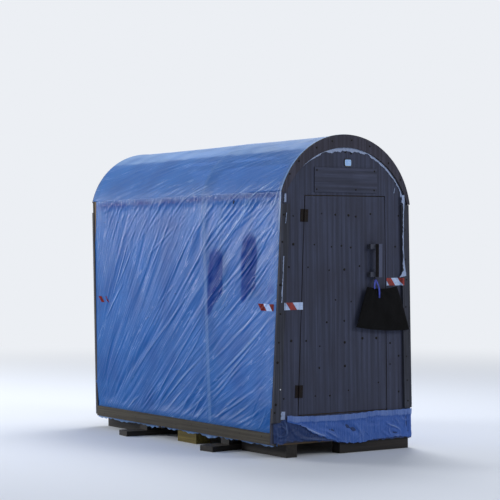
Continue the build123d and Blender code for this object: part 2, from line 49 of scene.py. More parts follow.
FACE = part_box("door_panel")[0][1]
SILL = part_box("side_sills")[0][2]
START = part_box("side_sills")[0][1]

# Sizes of the frame that the film follows, in mm; heights are above the underside of the sills
SKIN_FOOT = 571             # middle to the outside of the film, up to the deck
DECK = 101
FRONT_SECTION = (536, 1707, 2098)    # half width and height at the spring line, height at the crown
BACK_SECTION = (526, 1682, 2070)
SPRING = FRONT_SECTION[1]
BASE_LENGTH = 2424
LEAN = radians(5.7)
PLY = 12
BOARD_FACE = 19             # outer face of the corner boards, out from the panel
ARCH_FACE = 9
BATTEN_TOP = 76
MIDDLE_FRAME = 795
TIMBER = 38
PURLIN_ANGLE = 36           # degrees from the crown
PANEL_FOOT = 12
PANEL_FOOT_HALF = {-1: 630, 1: 574}  # the front panel is racked to the left
BACK_FOOT_HALF = 582
HUNG_PLACES = [(385, 280), (762, 385)]   # dark cloths hung inside: distance from the front, length of strap
CLOTH_DROP = 410            # length of a hung cloth below its strap
# Painted shadows on the film, of the two hung cloths and of one patch near the front with nothing behind it:
# distance from the front, half width, top, foot, rise of the foot, and depth
SHADOWS = [(374, 104, 1450, 930, 90, 0.95), (796, 100, 1345, 815, 160, 0.95), (70, 62, 1130, 985, 0, 0.4)]
CREASE_FRONT = 1682         # height of the crease over the stringer, along which a band of painted shade lies
CREASE_BACK = 1670


def front_points(x, height, out=0.0):
    """Points on the front face, in metres, from millimetres."""
    x, height, out = np.broadcast_arrays(x, height, out)
    return np.stack([x * MM, FACE - out * MM, SILL + height * MM], axis=-1)


def on_front(x, height, out=0.0):
    """One point on the front face."""
    return Vector(front_points(x, height, out))


# Colour and nodes
def linear(code):
    """Linear RGBA of an sRGB hex colour."""
    parts = [int(code[i:i + 2], 16) / 255 for i in (1, 3, 5)]
    return [c / 12.92 if c <= 0.04045 else ((c + 0.055) / 1.055) ** 2.4 for c in parts] + [1.0]


def new_material(name):
    """Material with no nodes yet."""
    made = bpy.data.materials.new(name)
    made.use_nodes = True
    made.node_tree.nodes.clear()
    return made


def add(owner, kind, inputs=None, ramp=(), out=0, **settings):
    """Adds a node and returns one output; an input is a value, a hex colour or another node's output."""
    tree = owner.node_tree
    made = tree.nodes.new("ShaderNode" + kind)
    for key, value in settings.items():
        setattr(made, key, value)
    for key, value in (inputs or {}).items():
        socket = made.inputs[key]
        if isinstance(value, bpy.types.NodeSocket):
            tree.links.new(value, socket)
        elif isinstance(value, str):
            socket.default_value = linear(value)
        else:
            socket.default_value = value
    if ramp:
        stops = made.color_ramp.elements
        while len(stops) < len(ramp):
            stops.new(0.5)
        for stop, (place, colour) in zip(stops, ramp):
            stop.position = place
            stop.color = linear(colour)
    return made.outputs[out] if made.outputs else None


COLOURS = {"data_type": "RGBA", "out": 2}    # settings of a mix of two colours, its inputs 6 and 7


def close(material, shader):
    """Links a shader to the material's output."""
    add(material, "OutputMaterial", {"Surface": shader})
    return material


def close_skin(material, colour, height, depth, strength, looks):
    """Ends a material with one surface in relief; depth is in metres."""
    relief = add(material, "Bump", {"Height": height, "Distance": depth, "Strength": strength})
    return close(material, add(material, "BsdfPrincipled", {"Base Color": colour, "Normal": relief, **looks}))


def per_mm(*sizes):
    """Mapping scale that turns metres into these real sizes, given in mm."""
    return [1 / (size * MM) for size in sizes]


ACROSS_GRAIN = {"X": (0, 1, 1), "Y": (1, 0, 1), "Z": (1, 1, 0)}    # 1 for each axis that crosses the grain
PLY_PAIR = 6                # one light and one dark ply, in mm


def wood(name, grain, light, dark, stain, across=16, length=420, rough=0.78, plies=None, face_tone=None, lean=0.0):
    """Bare weathered timber: dull, streaked along its grain, greyed in patches.

    Real grain is 1 to 3 mm wide; it is drawn about 10 mm wide or more so that it shows in the render."""
    made = new_material(name)
    place = add(made, "TexCoord", out="Object")
    if lean:
        place = add(made, "VectorRotate", {"Vector": place, "Angle": lean}, rotation_type="X_AXIS")
    sizes = [across if crosses else length for crosses in ACROSS_GRAIN[grain]]
    drawn = add(made, "Mapping", {"Vector": place, "Scale": per_mm(*sizes)})
    streaks = add(made, "TexNoise", {"Vector": drawn, "Scale": 1.0, "Detail": 7.0, "Roughness": 0.62})
    broad = add(made, "Mapping", {"Vector": place, "Scale": per_mm(*[size * 5 for size in sizes])})
    waves = {"Vector": broad, "Scale": 0.8, "Distortion": 9.0, "Detail": 3.0, "Detail Scale": 1.4}
    figure = add(made, "TexWave", waves, out="Fac", wave_type="BANDS", bands_direction="DIAGONAL")
    patches = add(made, "TexNoise", {"Vector": place, "Scale": 3.1, "Detail": 5.0, "Roughness": 0.6})
    tone = add(made, "ValToRGB", {"Fac": streaks}, [(0.32, dark), (0.66, light)])
    shade = add(made, "ValToRGB", {"Fac": figure}, [(0.0, "#b9b4ae"), (1.0, "#ffffff")])
    figured = add(made, "Mix", {"Factor": 0.55, 6: tone, 7: shade}, blend_type="MULTIPLY", **COLOURS)
    where = add(made, "ValToRGB", {"Fac": patches}, [(0.42, "#000000"), (0.68, "#b0b0b0")])
    colour = add(made, "Mix", {"Factor": where, 6: figured, 7: stain}, **COLOURS)
    if plies:
        colour = with_ply_edges(made, colour, *plies)
    # A given tone on the faces that look to the front and the back
    if face_tone:
        colour = add(made, "Mix", {"Factor": front_facing(made, 0.8), 6: colour, 7: face_tone}, **COLOURS)
    return close_skin(made, colour, streaks, 0.0016, 0.7, {"Roughness": rough, "Specular IOR Level": 0.25})


def front_facing(material, least):
    """Share of the surface that faces the front or the back of the hut more than this."""
    facing = add(material, "SeparateXYZ", {0: add(material, "TexCoord", out="Normal")}, out="Y")
    square = add(material, "Math", {0: facing}, operation="ABSOLUTE")
    return add(material, "Math", {0: square, 1: least}, operation="GREATER_THAN")


def with_ply_edges(material, face_colour, light, dark):
    """Cut edges of the plywood show its plies, each 3 mm thick, in a light and a dark tone."""
    place = add(material, "SeparateXYZ", {0: add(material, "TexCoord", out="Object")}, out="Y")
    plies = add(material, "Math", {0: place, 1: 2 * pi / (PLY_PAIR * MM)}, operation="MULTIPLY")
    wave = add(material, "Math", {0: plies}, operation="SINE")
    tone = add(material, "ValToRGB", {"Fac": wave}, [(0.0, dark), (0.5, light)])
    return add(material, "Mix", {"Factor": front_facing(material, 0.6), 6: tone, 7: face_colour}, **COLOURS)


def film(name, tint, white_and_sheen, through, clear, fine=24):
    """Milky polythene film, blown and stretched: soft gloss, some light and some of the frame show through.

    It whitens along its creases, partly its own whitening and partly painted highlight; it pales with a
    painted sky sheen over the crown, and darkens with painted shade over the stringer and behind the hung
    cloths. Its drawn wrinkles, about 24 mm apart, are finer than the mesh; they follow the pull of the film,
    kept in the UV map."""
    made = new_material(name)
    pull = add(made, "UVMap", uv_map="pull")
    place = add(made, "TexCoord", out="Object")
    close_set = add(made, "Mapping", {"Vector": pull, "Scale": per_mm(fine, fine * 24, 1000)})
    streaks = add(made, "TexNoise", {"Vector": close_set, "Scale": 1.0, "Detail": 3.0, "Roughness": 0.6})
    wide_set = add(made, "Mapping", {"Vector": pull, "Scale": per_mm(fine * 3, fine * 36, 1000)})
    lines = add(made, "TexNoise", {"Vector": wide_set, "Scale": 1.0, "Detail": 4.0, "Roughness": 0.5})
    middle = add(made, "Math", {0: lines, 1: 0.5}, operation="SUBTRACT")
    off_line = add(made, "Math", {0: middle}, operation="ABSOLUTE")
    line = add(made, "ValToRGB", {"Fac": off_line}, [(0.0, "#b4b4b4"), (0.012, "#000000")])
    patchy = add(made, "TexNoise", {"Vector": place, "Scale": 3.4, "Detail": 3.0})
    where = add(made, "ValToRGB", {"Fac": patchy}, [(0.38, "#3a3a3a"), (0.62, "#ffffff")])
    drawn = add(made, "Math", {0: line, 1: where}, operation="MULTIPLY")
    marks = ("crest", "frost", "soil")
    crest, frost, soil = [add(made, "Attribute", out="Fac", attribute_name=mark) for mark in marks]
    sharp = add(made, "ValToRGB", {"Fac": crest}, [(0.3, "#000000"), (1.0, "#ffffff")])
    folds = add(made, "Math", {0: drawn, 1: sharp}, operation="MAXIMUM")
    crinkles = add(made, "TexNoise", {"Vector": place, "Scale": 48.0, "Detail": 3.0, "Roughness": 0.5})
    pulled = add(made, "Bump", {"Height": streaks, "Distance": 0.006, "Strength": 1.0})
    creased = add(made, "Bump", {"Height": drawn, "Distance": 0.002, "Strength": 0.6, "Normal": pulled})
    relief = add(made, "Bump", {"Height": crinkles, "Distance": 0.0011, "Strength": 0.6, "Normal": creased})
    shade = add(made, "ValToRGB", {"Fac": patchy}, [(0.3, "#d4d9e4"), (0.7, "#ffffff")])
    even = add(made, "Mix", {"Factor": 0.9, 6: tint, 7: shade}, blend_type="MULTIPLY", **COLOURS)
    # Painted sky sheen: the film pales over the crown strip and the haunches
    paled = add(made, "Mix", {"Factor": frost, 6: even, 7: white_and_sheen}, **COLOURS)
    # Painted shade: the film turns dark blue and loses its gloss in the band over the stringer and in the
    # cloths' shadows
    body = add(made, "Mix", {"Factor": soil, 6: paled, 7: "#103c9e"}, **COLOURS)
    # Crests and drawn lines turn pale: partly the film's own whitening, partly painted highlight
    crease_white_and_highlight = add(made, "Math", {0: folds, 1: 0.75}, operation="MULTIPLY")
    colour = add(made, "Mix", {"Factor": crease_white_and_highlight, 6: body, 7: white_and_sheen}, **COLOURS)
    gloss = add(made, "MapRange", {"Value": soil, "To Min": 0.3, "To Max": 0.03})
    looks = {"Roughness": 0.38, "IOR": 1.51, "Specular IOR Level": gloss}
    skin = add(made, "BsdfPrincipled", {"Base Color": colour, "Normal": relief, **looks})
    glow = add(made, "BsdfTranslucent", {"Color": colour, "Normal": relief})
    milky = add(made, "MixShader", {"Fac": through, 1: skin, 2: glow})
    hole = add(made, "BsdfTransparent", {"Color": "#cfdcf2"})
    thin = add(made, "MapRange", {"Value": folds, "To Min": clear, "To Max": clear * 0.2})
    return close(made, add(made, "MixShader", {"Fac": thin, 1: milky, 2: hole}))


def cloth(name, light, dark, thread, sheen):
    """Woven cloth: dull, with its threads drawn 2 or 3 mm apart so that they show close by."""
    made = new_material(name)
    place = add(made, "TexCoord", out="Object")
    waves = {"Vector": place, "Scale": 1 / (thread * MM), "Distortion": 0.4}
    warp, weft = [add(made, "TexWave", waves, out="Fac", bands_direction=way) for way in ("X", "Z")]
    weave = add(made, "Math", {0: warp, 1: weft}, operation="MULTIPLY")
    wear = add(made, "TexNoise", {"Vector": place, "Scale": 14.0, "Detail": 5.0})
    colour = add(made, "ValToRGB", {"Fac": wear}, [(0.35, dark), (0.7, light)])
    looks = {"Roughness": 0.9, "Specular IOR Level": 0.15, "Sheen Weight": sheen, "Sheen Roughness": 0.5}
    return close_skin(made, colour, weave, 0.0006, 0.6, looks)


def rusted_steel(name, steel, rust):
    """Mild steel left outside: dull dark scale with brown rust in blotches a few millimetres across."""
    made = new_material(name)
    place = add(made, "TexCoord", out="Object")
    blotches = add(made, "TexNoise", {"Vector": place, "Scale": 90.0, "Detail": 6.0, "Roughness": 0.7})
    colour = add(made, "ValToRGB", {"Fac": blotches}, [(0.4, steel), (0.62, rust)])
    dull = add(made, "ValToRGB", {"Fac": blotches}, [(0.35, "#8c8c8c"), (0.6, "#e0e0e0")])
    return close_skin(made, colour, blotches, 0.0008, 0.7, {"Roughness": dull, "Specular IOR Level": 0.15})


def smooth_finish(name, light, dark, rough, metal=0.0, gloss=0.5):
    """Moulded plastic, tape or plated steel: even, with a little soiling."""
    made = new_material(name)
    place = add(made, "TexCoord", out="Object")
    soil = add(made, "TexNoise", {"Vector": place, "Scale": 60.0, "Detail": 4.0})
    colour = add(made, "ValToRGB", {"Fac": soil}, [(0.35, dark), (0.6, light)])
    looks = {"Roughness": rough, "Metallic": metal, "Specular IOR Level": gloss}
    return close_skin(made, colour, soil, 0.0003, 0.4, looks)


# Weathered wood outside, fresher inside: each set is its light and dark streaks and its stain
# The blue-grey of the outside plywood, sign and boards is painted blue evening light on grey-brown wood
PANEL = ("#454a5f", "#383c4e", "#32323e")
ARCH = ("#4b4a58", "#36343f", "#2d2b33")
SIGN = ("#4a4e62", "#363a4b", "#2b2e3c")
BOARD = ("#454855", "#2e3038", "#272931")
GRIP = ("#3a3633", "#242120", "#1d1c1c")
FOOT_BOARD = ("#504b41", "#343029", "#2a2724")
INSIDE = ("#86735a", "#624f3b", "#4b3f31")
# A darker copy of the framing for the eave stringers: painted shade that shows through the film
SHADED_FRAME = ("#4c443b", "#332c26", "#2a2522")
# Near-black timbers and a dim yellow block under the hut: painted shade
UNDER_HUT_SHADE = ("#322d2a", "#191716", "#121110")
YELLOW_SHADED = ("#7d6f38", "#54491f", "#39301c")
VENEER = {"across": 11, "length": 520, "plies": ("#4a4138", "#1f1b19")}

# Each carried-over node and its finish
framing_across = wood("framing_softwood_across", "X", *INSIDE, across=9)
NODE_FINISHES = {
    wood("weathered_plywood", "Z", *PANEL, **VENEER): [
        "front_wall_left", "front_wall_right", "front_wall_sill", "front_wall_top", "door_panel"],
    wood("weathered_back_plywood", "Z", *PANEL, lean=LEAN, **VENEER): [
        "back_wall", "back_arch_crown", "back_arch_sides"],
    wood("weathered_arch_plywood", "Z", *ARCH, **VENEER): [
        "front_arch_left", "front_arch_crown", "front_arch_right"],
    # The sign's cut edges are near black, much darker than its face, for the dark line round the board
    wood("weathered_thin_plywood", "X", *SIGN, plies=("#1d1a19", "#0f0e0e")): ["sign_board"],
    wood("deck_plywood", "Y", *INSIDE, across=30, length=700): ["floor_deck"],
    wood("weathered_board_upright", "Z", *BOARD, across=10): ["corner_boards_left", "corner_board_right"],
    wood("weathered_back_board", "Z", *BOARD, across=10, lean=LEAN): ["back_corner_boards"],
    # Its front and back faces are lighter than its sides
    wood("board_pale_faces", "Z", *GRIP, across=10, face_tone="#51566b"): ["handle_bar"],
    wood("weathered_board_along", "Y", *FOOT_BOARD, across=10, length=600): ["side_battens"],
    wood("weathered_board_across", "X", *BOARD, across=10, face_tone="#484b57"): ["handle_stand_offs"],
    wood("framing_softwood_upright", "Z", *INSIDE, across=9): ["wall_studs", "door_posts", "roof_hoops"],
    wood("framing_softwood_along", "Y", *INSIDE, across=9): ["side_sills", "roof_purlins"],
    wood("shaded_softwood_along", "Y", *SHADED_FRAME, across=9): ["eave_stringers"],
    framing_across: ["end_sills", "floor_joists", "door_header", "door_ledges"],
    wood("shaded_timber_along", "Y", *UNDER_HUT_SHADE, across=14, rough=0.6): ["runners", "sleeper_blocks"],
    wood("shaded_timber_across", "X", *UNDER_HUT_SHADE, across=14, rough=0.6): ["front_block", "sleepers"],
    wood("yellow_softwood_shaded", "Y", *YELLOW_SHADED, across=12): ["yellow_block"],
    rusted_steel("rusted_hinge_steel", "#080606", "#1a0f0b"): ["hinge_wall_leaves", "hinge_door_leaves"],
}
SHARP_NODES = {"hinge_wall_leaves", "hinge_door_leaves"}

# Finishes of the added pieces
# The blue of these film finishes is painted blue evening light on a milky white film
cover_film = film("stretched_polythene", "#2479d0", "#b0d3fa", 0.30, 0.15)
edge_film = film("loose_polythene", "#9fb4dc", "#e4ecfa", 0.2, 0.04, fine=9)
skirt_film = film("hanging_polythene", "#4c77ca", "#b4c9f0", 0.22, 0.05, fine=10)
under_film = film("shaded_polythene", "#30487c", "#7a95c8", 0.22, 0.08, fine=10)
dark_cloth = cloth("dark_woven_cloth", "#23273a", "#12141f", 3, 0.2)
black_cloth = cloth("black_nylon_cloth", "#08080b", "#020203", 2, 0.0)
blue_strap = smooth_finish("blue_webbing", "#3446ae", "#222f80", 0.6)
nail_steel = rusted_steel("rusted_nail_steel", "#060505", "#130d0a")
plated_steel = smooth_finish("zinc_plated_steel", "#d5d8de", "#9aa0aa", 0.3, metal=1.0)
tape_red = smooth_finish("red_reflective_tape", "#8f1d12", "#6c150e", 0.55)
# The white tape is tinted blue: painted blue evening light
tape_white = smooth_finish("white_reflective_tape", "#b9cceb", "#9db4da", 0.35)
# Darker, duller copies of the red and white tape for the left film: the darker tone is painted shade
tape_shaded = smooth_finish("scuffed_shaded_red_tape", "#74140a", "#520f08", 0.75, gloss=0.1)
tape_white_shaded = smooth_finish("scuffed_shaded_white_tape", "#86a9de", "#6d93cf", 0.45)
# The white reflector is tinted blue: painted blue evening light
lens_white = smooth_finish("white_reflector_plastic", "#a9cdf6", "#8fb6ea", 0.22)
# Dark frame of the reflector, partly painted shadow round its lens
rim_and_shadow_plastic = smooth_finish("reflector_rim_and_shadow", "#1b1c22", "#101116", 0.4)


def ease(piece, width, segments=2, angle=30):
    """Rounds a piece's sharp edges; the width is in mm and the angle in degrees."""
    eased = piece.modifiers.new("eased_edges", "BEVEL")
    eased.width = width * MM
    eased.segments = segments
    eased.limit_method = "ANGLE"
    eased.angle_limit = radians(angle)


def finish_nodes():
    """Gives each carried-over node its finish and eases its sawn edges."""
    for finish, names in NODE_FINISHES.items():
        for name in names:
            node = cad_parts[name]
            for holder in node.material_slots:
                holder.material = finish
            if not node.material_slots:
                node.data.materials.append(finish)
            if name not in SHARP_NODES:
                ease(node, 1.5, angle=40)


# Mesh helpers
def piece_from(name, mesh, finishes, body="hut"):
    """Adds a mesh as a piece that rides on a body."""
    made = bpy.data.objects.new(name, mesh)
    bpy.context.scene.collection.objects.link(made)
    for finish in finishes:
        mesh.materials.append(finish)
    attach(made, body)
    return made


def smooth_shade(mesh):
    """Shades all faces of a mesh smooth."""
    mesh.polygons.foreach_set("use_smooth", np.ones(len(mesh.polygons), dtype=bool))


def write_mesh(shell, mesh):
    """Writes a bmesh to a mesh, its faces turned outwards."""
    bmesh.ops.recalc_face_normals(shell, faces=shell.faces)
    shell.to_mesh(mesh)
    shell.free()
    return mesh


def add_tube(shell, rings, tip=None):
    """Skins rings of points; both ends are closed with a face, or the last one round a tip."""
    rings = [[shell.verts.new(point) for point in ring] for ring in rings]
    count = len(rings[0])
    turns = [(here, (here + 1) % count) for here in range(count)]
    for ring, following in zip(rings, rings[1:]):
        for here, after in turns:
            shell.faces.new((ring[here], ring[after], following[after], following[here]))
    shell.faces.new(rings[0][::-1])
    if tip is None:
        shell.faces.new(rings[-1])
    else:
        top = shell.verts.new(tip)
        for here, after in turns:
            shell.faces.new((rings[-1][here], rings[-1][after], top))


def tube_mesh(name, rings):
    """Mesh of one closed tube."""
    shell = bmesh.new()
    add_tube(shell, rings)
    return write_mesh(shell, bpy.data.meshes.new(name))


def grid_mesh(name, points, pull=None, wrap=False, mirror_at=0, **marks):
    """Smooth mesh over rows and columns of points, with the film's pull as UVs and its marks as attributes.

    Up to the row mirror_at, the faces are split along the other diagonal, which is the way of the folds."""
    rows, columns = points.shape[:2]
    index = np.arange(rows * columns).reshape(rows, columns)
    if wrap:
        index = np.concatenate([index, index[:, :1]], axis=1)
    faces = np.stack([index[:-1, :-1], index[1:, :-1], index[1:, 1:], index[:-1, 1:]], axis=-1)
    faces[:mirror_at] = np.roll(faces[:mirror_at], -1, axis=-1)
    faces = faces.reshape(-1, 4)
    mesh = bpy.data.meshes.new(name)
    mesh.from_pydata(points.reshape(-1, 3).tolist(), [], faces.tolist())
    smooth_shade(mesh)
    if pull is not None:
        layer = mesh.uv_layers.new(name="pull")
        layer.data.foreach_set("uv", pull.reshape(-1, 2)[faces.reshape(-1)].astype(np.float32).ravel())
    for label, values in marks.items():
        layer = mesh.attributes.new(label, "FLOAT", "POINT")
        layer.data.foreach_set("value", values.astype(np.float32).ravel())
    return mesh


def ripple(x, y, size, seed, waves=7):
    """Smooth irregular field between about -1 and 1, with bumps of this size."""
    rng = np.random.default_rng(seed)
    total = 0
    for _ in range(waves):
        heading = rng.uniform(0, pi)
        rate = 2 * pi / (size * rng.uniform(0.7, 1.6))
        total = total + np.sin((x * cos(heading) + y * sin(heading)) * rate + rng.uniform(0, 2 * pi))
    return total / waves ** 0.5 / 1.4


def step(low, high, value):
    """Smooth step from 0 at low to 1 at high."""
    share = np.clip((value - low) / (high - low), 0, 1)
    return share * share * (3 - 2 * share)


def places_along(path):
    """Distance along a path to each of its points."""
    return np.concatenate([[0], np.cumsum(np.linalg.norm(np.diff(path, axis=0), axis=1))])


# The stretched film: way runs along its girth from -2 at the left foot, -1 and 1 at the
# spring lines and 0 at the crown, to 2 at the right foot; along runs from the front to the back
def arch(half, spring, crown):
    """Radius, height of the centre and half angle in radians of a section's roof."""
    rise = crown - spring
    radius = (half * half + rise * rise) / (2 * rise)
    return radius, crown - radius, atan2(half, spring - crown + radius)


def wall_half(height, half, spring):
    """Half width of the film at a height on its walls, which lean in above the deck."""
    return SKIN_FOOT + (half - SKIN_FOOT) * np.clip((height - DECK) / (spring - DECK), 0, 1)


ROOF_RADIUS, _, ROOF_HALF_ANGLE = arch(*FRONT_SECTION)
ROOF_HALF = ROOF_RADIUS * ROOF_HALF_ANGLE
FACET = 11                  # how far the roof film sinks between two purlins
SLACK = 5                   # how far the wall film hangs in between two members
DEEPEST = (0.3, 18)         # how far in the film may reach on a member, and further in between members


def section(way, half, spring, crown):
    """Half width and height, in mm, of the film's section."""
    radius, centre, sweep = arch(half, spring, crown)
    angle = np.clip(way, -1, 1) * sweep
    height = (2 - np.abs(way)) * spring
    roof = np.abs(way) <= 1
    across = np.where(roof, radius * np.sin(angle), np.sign(way) * wall_half(height, half, spring))
    return across, np.where(roof, centre + radius * np.cos(angle), height)


def smooth_film(way, along):
    """Point of the film before its wrinkles, in mm, with y from the front of the frame."""
    front_x, front_z = section(way, *FRONT_SECTION)
    back_x, back_z = section(way, *BACK_SECTION)
    x = front_x + (back_x - front_x) * along
    y = (BASE_LENGTH + back_z * sin(LEAN)) * along
    z = front_z + (back_z * cos(LEAN) - front_z) * along
    return np.stack([x, y, z], axis=-1)


def curved(path, count=8):
    """Points of a smooth line near a few given points."""
    path = np.asarray(path, dtype=float)
    place = places_along(path)
    degree = min(len(path) - 1, 3)
    fine = np.linspace(0, place[-1], count if degree > 1 else 2)
    return np.stack([np.polyval(np.polyfit(place, path[:, axis], degree), fine) for axis in (0, 1)], axis=-1)


def fold(sheet, path, rise, width, shine=0.0):
    """Adds one fold to a sheet along a path: a crest with a shallow trough each side.

    The sheet is the u and v of its points, and their lift and creasing, which are changed in place."""
    u, v, lift, crest = sheet
    reach = width * 4
    low, high = path.min(axis=0) - reach, path.max(axis=0) + reach
    near = np.flatnonzero((u > low[0]) & (u < high[0]) & (v > low[1]) & (v < high[1]))
    if not len(near):
        return
    here_u, here_v = u[near], v[near]
    starts = places_along(path)
    best = np.full(len(near), reach * 9.0)
    place = np.zeros(len(near))
    for corner, run, start, length in zip(path, np.diff(path, axis=0), starts, np.diff(starts)):
        off_u, off_v = here_u - corner[0], here_v - corner[1]
        share = np.clip((off_u * run[0] + off_v * run[1]) / length ** 2, 0, 1)
        gap = np.hypot(off_u - share * run[0], off_v - share * run[1])
        place = np.where(gap < best, start + share * length, place)
        best = np.minimum(gap, best)
    fade = np.clip(np.sin(pi * place / starts[-1]), 0, 1) ** 0.6
    across = best / width
    lift[near] += 0.8 * rise * fade * (np.exp(-across ** 2) - 0.35 * np.exp(-(across - 1.9) ** 2))
    if shine:
        crest[near] = np.maximum(crest[near], shine * fade * np.exp(-(across / 0.72) ** 2))


FAN = (3150, -2800)         # place, past the back and far below, that the pull of the walls runs to


def wall_pull(u, v):
    """Angle of the film's pull on a wall, down towards the back; flatter near the spring line."""
    return atan2(v - FAN[1], FAN[0] - u) * (1 - 0.45 * np.exp(-(v / 230) ** 2))


def spring_pull(_, v):
    """Angle of the film's pull across the spring line."""
    return radians(33 - v * 0.04)


def roof_pull(u, v):
    """Angle of the film's pull on the roof."""
    return radians(24 - 15 * v / ROOF_HALF - 5 * u / BASE_LENGTH)


def strew_folds(sheet, rng, count, area, pull, lengths, rises, width, shine=0.0):
    """Folds strewn over an area of the film, from u to u and v to v, each along the pull there."""
    for _ in range(count):
        middle = np.array([rng.uniform(area[0], area[1]), rng.uniform(area[2], area[3])])
        angle = pull(*middle) + radians(rng.normal(0, 3.0))
        half = rng.uniform(*lengths) / 2
        run = np.array([cos(angle), -sin(angle)])
        bow = np.array([run[1], -run[0]]) * rng.normal(0, 0.03) * half
        path = curved([middle - half * run, middle + bow, middle + half * run], 4)
        share = rng.power(0.45)
        rise = rises[0] + (rises[1] - rises[0]) * share
        fold(sheet, path, rise, width * rng.uniform(0.75, 1.4), shine * share)


# Folds strewn over each side: how many, area from u to u and from v to v, pull, lengths, rises,
# width and whiteness; v is measured from the spring line
STREWN = [
    (130, (0, 2400, -1650, -60), wall_pull, (360, 1100), (0.6, 4.4), 8, 0.65),
    (190, (0, 2400, -1600, -30), wall_pull, (110, 420), (0.4, 2.2), 6.5, 0.3),
    (150, (0, 2400, -330, -30), wall_pull, (60, 190), (0.4, 2.0), 6.0, 0.35),
    (60, (1700, 2420, -1500, -100), wall_pull, (200, 600), (0.6, 3.0), 7, 0.5),
    (26, (0, 2300, -1500, -200), wall_pull, (400, 1000), (-4.0, -1.0), 30),
    (110, (0, 2450, 10, 330), roof_pull, (150, 620), (0.4, 2.6), 8.5, 0.3),
    (90, (0, 2450, 330, 700), roof_pull, (120, 520), (0.4, 3.0), 9, 0.35),
    (24, (0, 1500, -120, 120), spring_pull, (260, 620), (1.0, 3.4), 9, 0.6),
]
# Strong creases of the left wall: points of distance from the front and height, then rise and whiteness
LEFT_CREASES = [
    ([(300, 1680), (560, 1480), (820, 1260)], 6.0, 1.0), ([(370, 1610), (710, 1340)], 4.5, 0.8),
    ([(0, 1660), (300, 1450)], 5.0, 0.9), ([(550, 1640), (940, 1370)], 4.0, 0.7),
    ([(1000, 1550), (1270, 1270), (1500, 950)], 5.0, 0.7), ([(1360, 1490), (1730, 1270)], 3.0, 0.5),
    ([(2050, 1370), (2150, 1170), (2270, 930)], 6.5, 1.0), ([(1960, 1360), (2190, 1030)], 5.0, 0.9),
    ([(420, 1220), (810, 970)], 4.0, 0.6), ([(40, 1500), (210, 1330)], 4.0, 0.8),
    ([(270, 1290), (560, 1070)], 4.5, 0.7), ([(30, 870), (440, 600), (830, 350)], 6.5, 1.0),
    ([(170, 760), (490, 520), (790, 290)], 5.5, 0.9), ([(440, 990), (800, 730)], 3.5, 0.5),
    ([(1160, 1000), (1700, 500)], 4.0, 0.5), ([(400, 550), (900, 160)], 4.5, 0.6),
    ([(290, 340), (780, 110)], 5.0, 0.7), ([(70, 240), (250, 60)], 5.0, 0.8),
    ([(220, 300), (640, 90)], 4.0, 0.7), ([(2100, 1060), (2180, 980), (2280, 870), (2370, 760)], 6.0, 1.0),
    ([(1330, 1070), (1480, 960), (1620, 850)], 3.0, 0.4),
    ([(1080, 1060), (1430, 770), (1690, 540), (1880, 400), (2130, 80)], 5.5, 0.7),
    ([(910, 900), (1270, 540), (1430, 370), (1690, 60)], 5.0, 0.8),
    ([(900, 830), (1130, 540), (1330, 360), (1620, 50)], 4.5, 0.8),
    ([(880, 590), (1070, 470), (1250, 350), (1600, 60)], 6.0, 1.0),
    ([(1190, 290), (1310, 210), (1450, 90)], 4.0, 0.9), ([(870, 450), (1050, 300), (1290, 50)], 4.5, 0.6),
    ([(880, 300), (970, 220), (1100, 50)], 4.5, 0.8), ([(850, 210), (1060, 50)], 4.5, 0.9),
    ([(1800, 210), (1920, 140), (2030, 50)], 4.0, 1.0),
    ([(2200, 690), (2280, 560), (2340, 410), (2370, 300)], 4.5, 0.6),
    ([(330, 120), (250, 250), (130, 380)], 3.0, 0.3),
    ([(744, 1560), (518, 1701), (415, 1750), (297, 1814)], 4.5, 0.8),
    ([(488, 1556), (296, 1706), (177, 1760), (40, 1841)], 5.5, 1.0),
    ([(388, 1553), (293, 1653), (240, 1720)], 4.0, 0.6),
    ([(144, 1549), (41, 1674), (21, 1757), (10, 1825)], 4.5, 0.9),
    ([(243, 1585), (130, 1717), (17, 1809)], 4.0, 0.6),
    ([(1353, 1603), (1218, 1688), (1065, 1751), (955, 1791)], 4.0, 0.7),
    ([(1259, 1690), (998, 1813)], 3.0, 0.5),
]
# Broad dark hollows between them: points, then depth and width
LEFT_HOLLOWS = [
    ([(1500, 820), (1700, 620), (1970, 390), (2290, 60)], 9.0, 26),
    ([(2100, 800), (2240, 570), (2380, 200)], 7.0, 28),
    ([(1750, 400), (1880, 270), (2140, 60)], 7.0, 18), ([(1260, 460), (1410, 340), (1710, 50)], 7.5, 18),
    ([(900, 400), (990, 300), (1290, 50)], 7.0, 16), ([(850, 270), (1120, 50)], 7.0, 14),
    ([(2060, 420), (2330, 60)], 6.0, 16), ([(1620, 1330), (1900, 900), (2140, 520)], 5.0, 40),
    ([(1000, 1150), (1330, 800), (1560, 560)], 4.5, 30), ([(620, 780), (900, 520)], 4.0, 24),
]
# Nails in the foot boards, from which folds fan out: distance from the front
FOOT_NAILS = [150, 420, 830, 1040, 1250, 1590, 1830, 2090, 2310]


def foot_fans(sheet, rng):
    """Five folds that fan out above each nail of the foot board."""
    for nail in FOOT_NAILS:
        for _ in range(5):
            angle = wall_pull(nail, -SPRING) + radians(rng.normal(4, 12))
            length = rng.uniform(130, 420)
            low = np.array([nail + rng.normal(0, 22), 60 - SPRING])
            high = low + length * np.array([-cos(angle), sin(angle)])
            fold(sheet, curved([high, low]), rng.uniform(1.5, 4.0), rng.uniform(8, 13), 0.3)


def pinches(sheet, rng, count):
    """Short puckers where the film is stapled along the crease over the stringer."""
    for _ in range(count):
        angle = radians(rng.uniform(20, 60))
        top = np.array([rng.uniform(0, BASE_LENGTH), CREASE_FRONT - SPRING + rng.normal(4, 8)])
        end = top + rng.uniform(40, 150) * np.array([cos(angle), -sin(angle)])
        fold(sheet, curved([top, end]), rng.uniform(1.5, 4.0), rng.uniform(7, 11), 0.3)


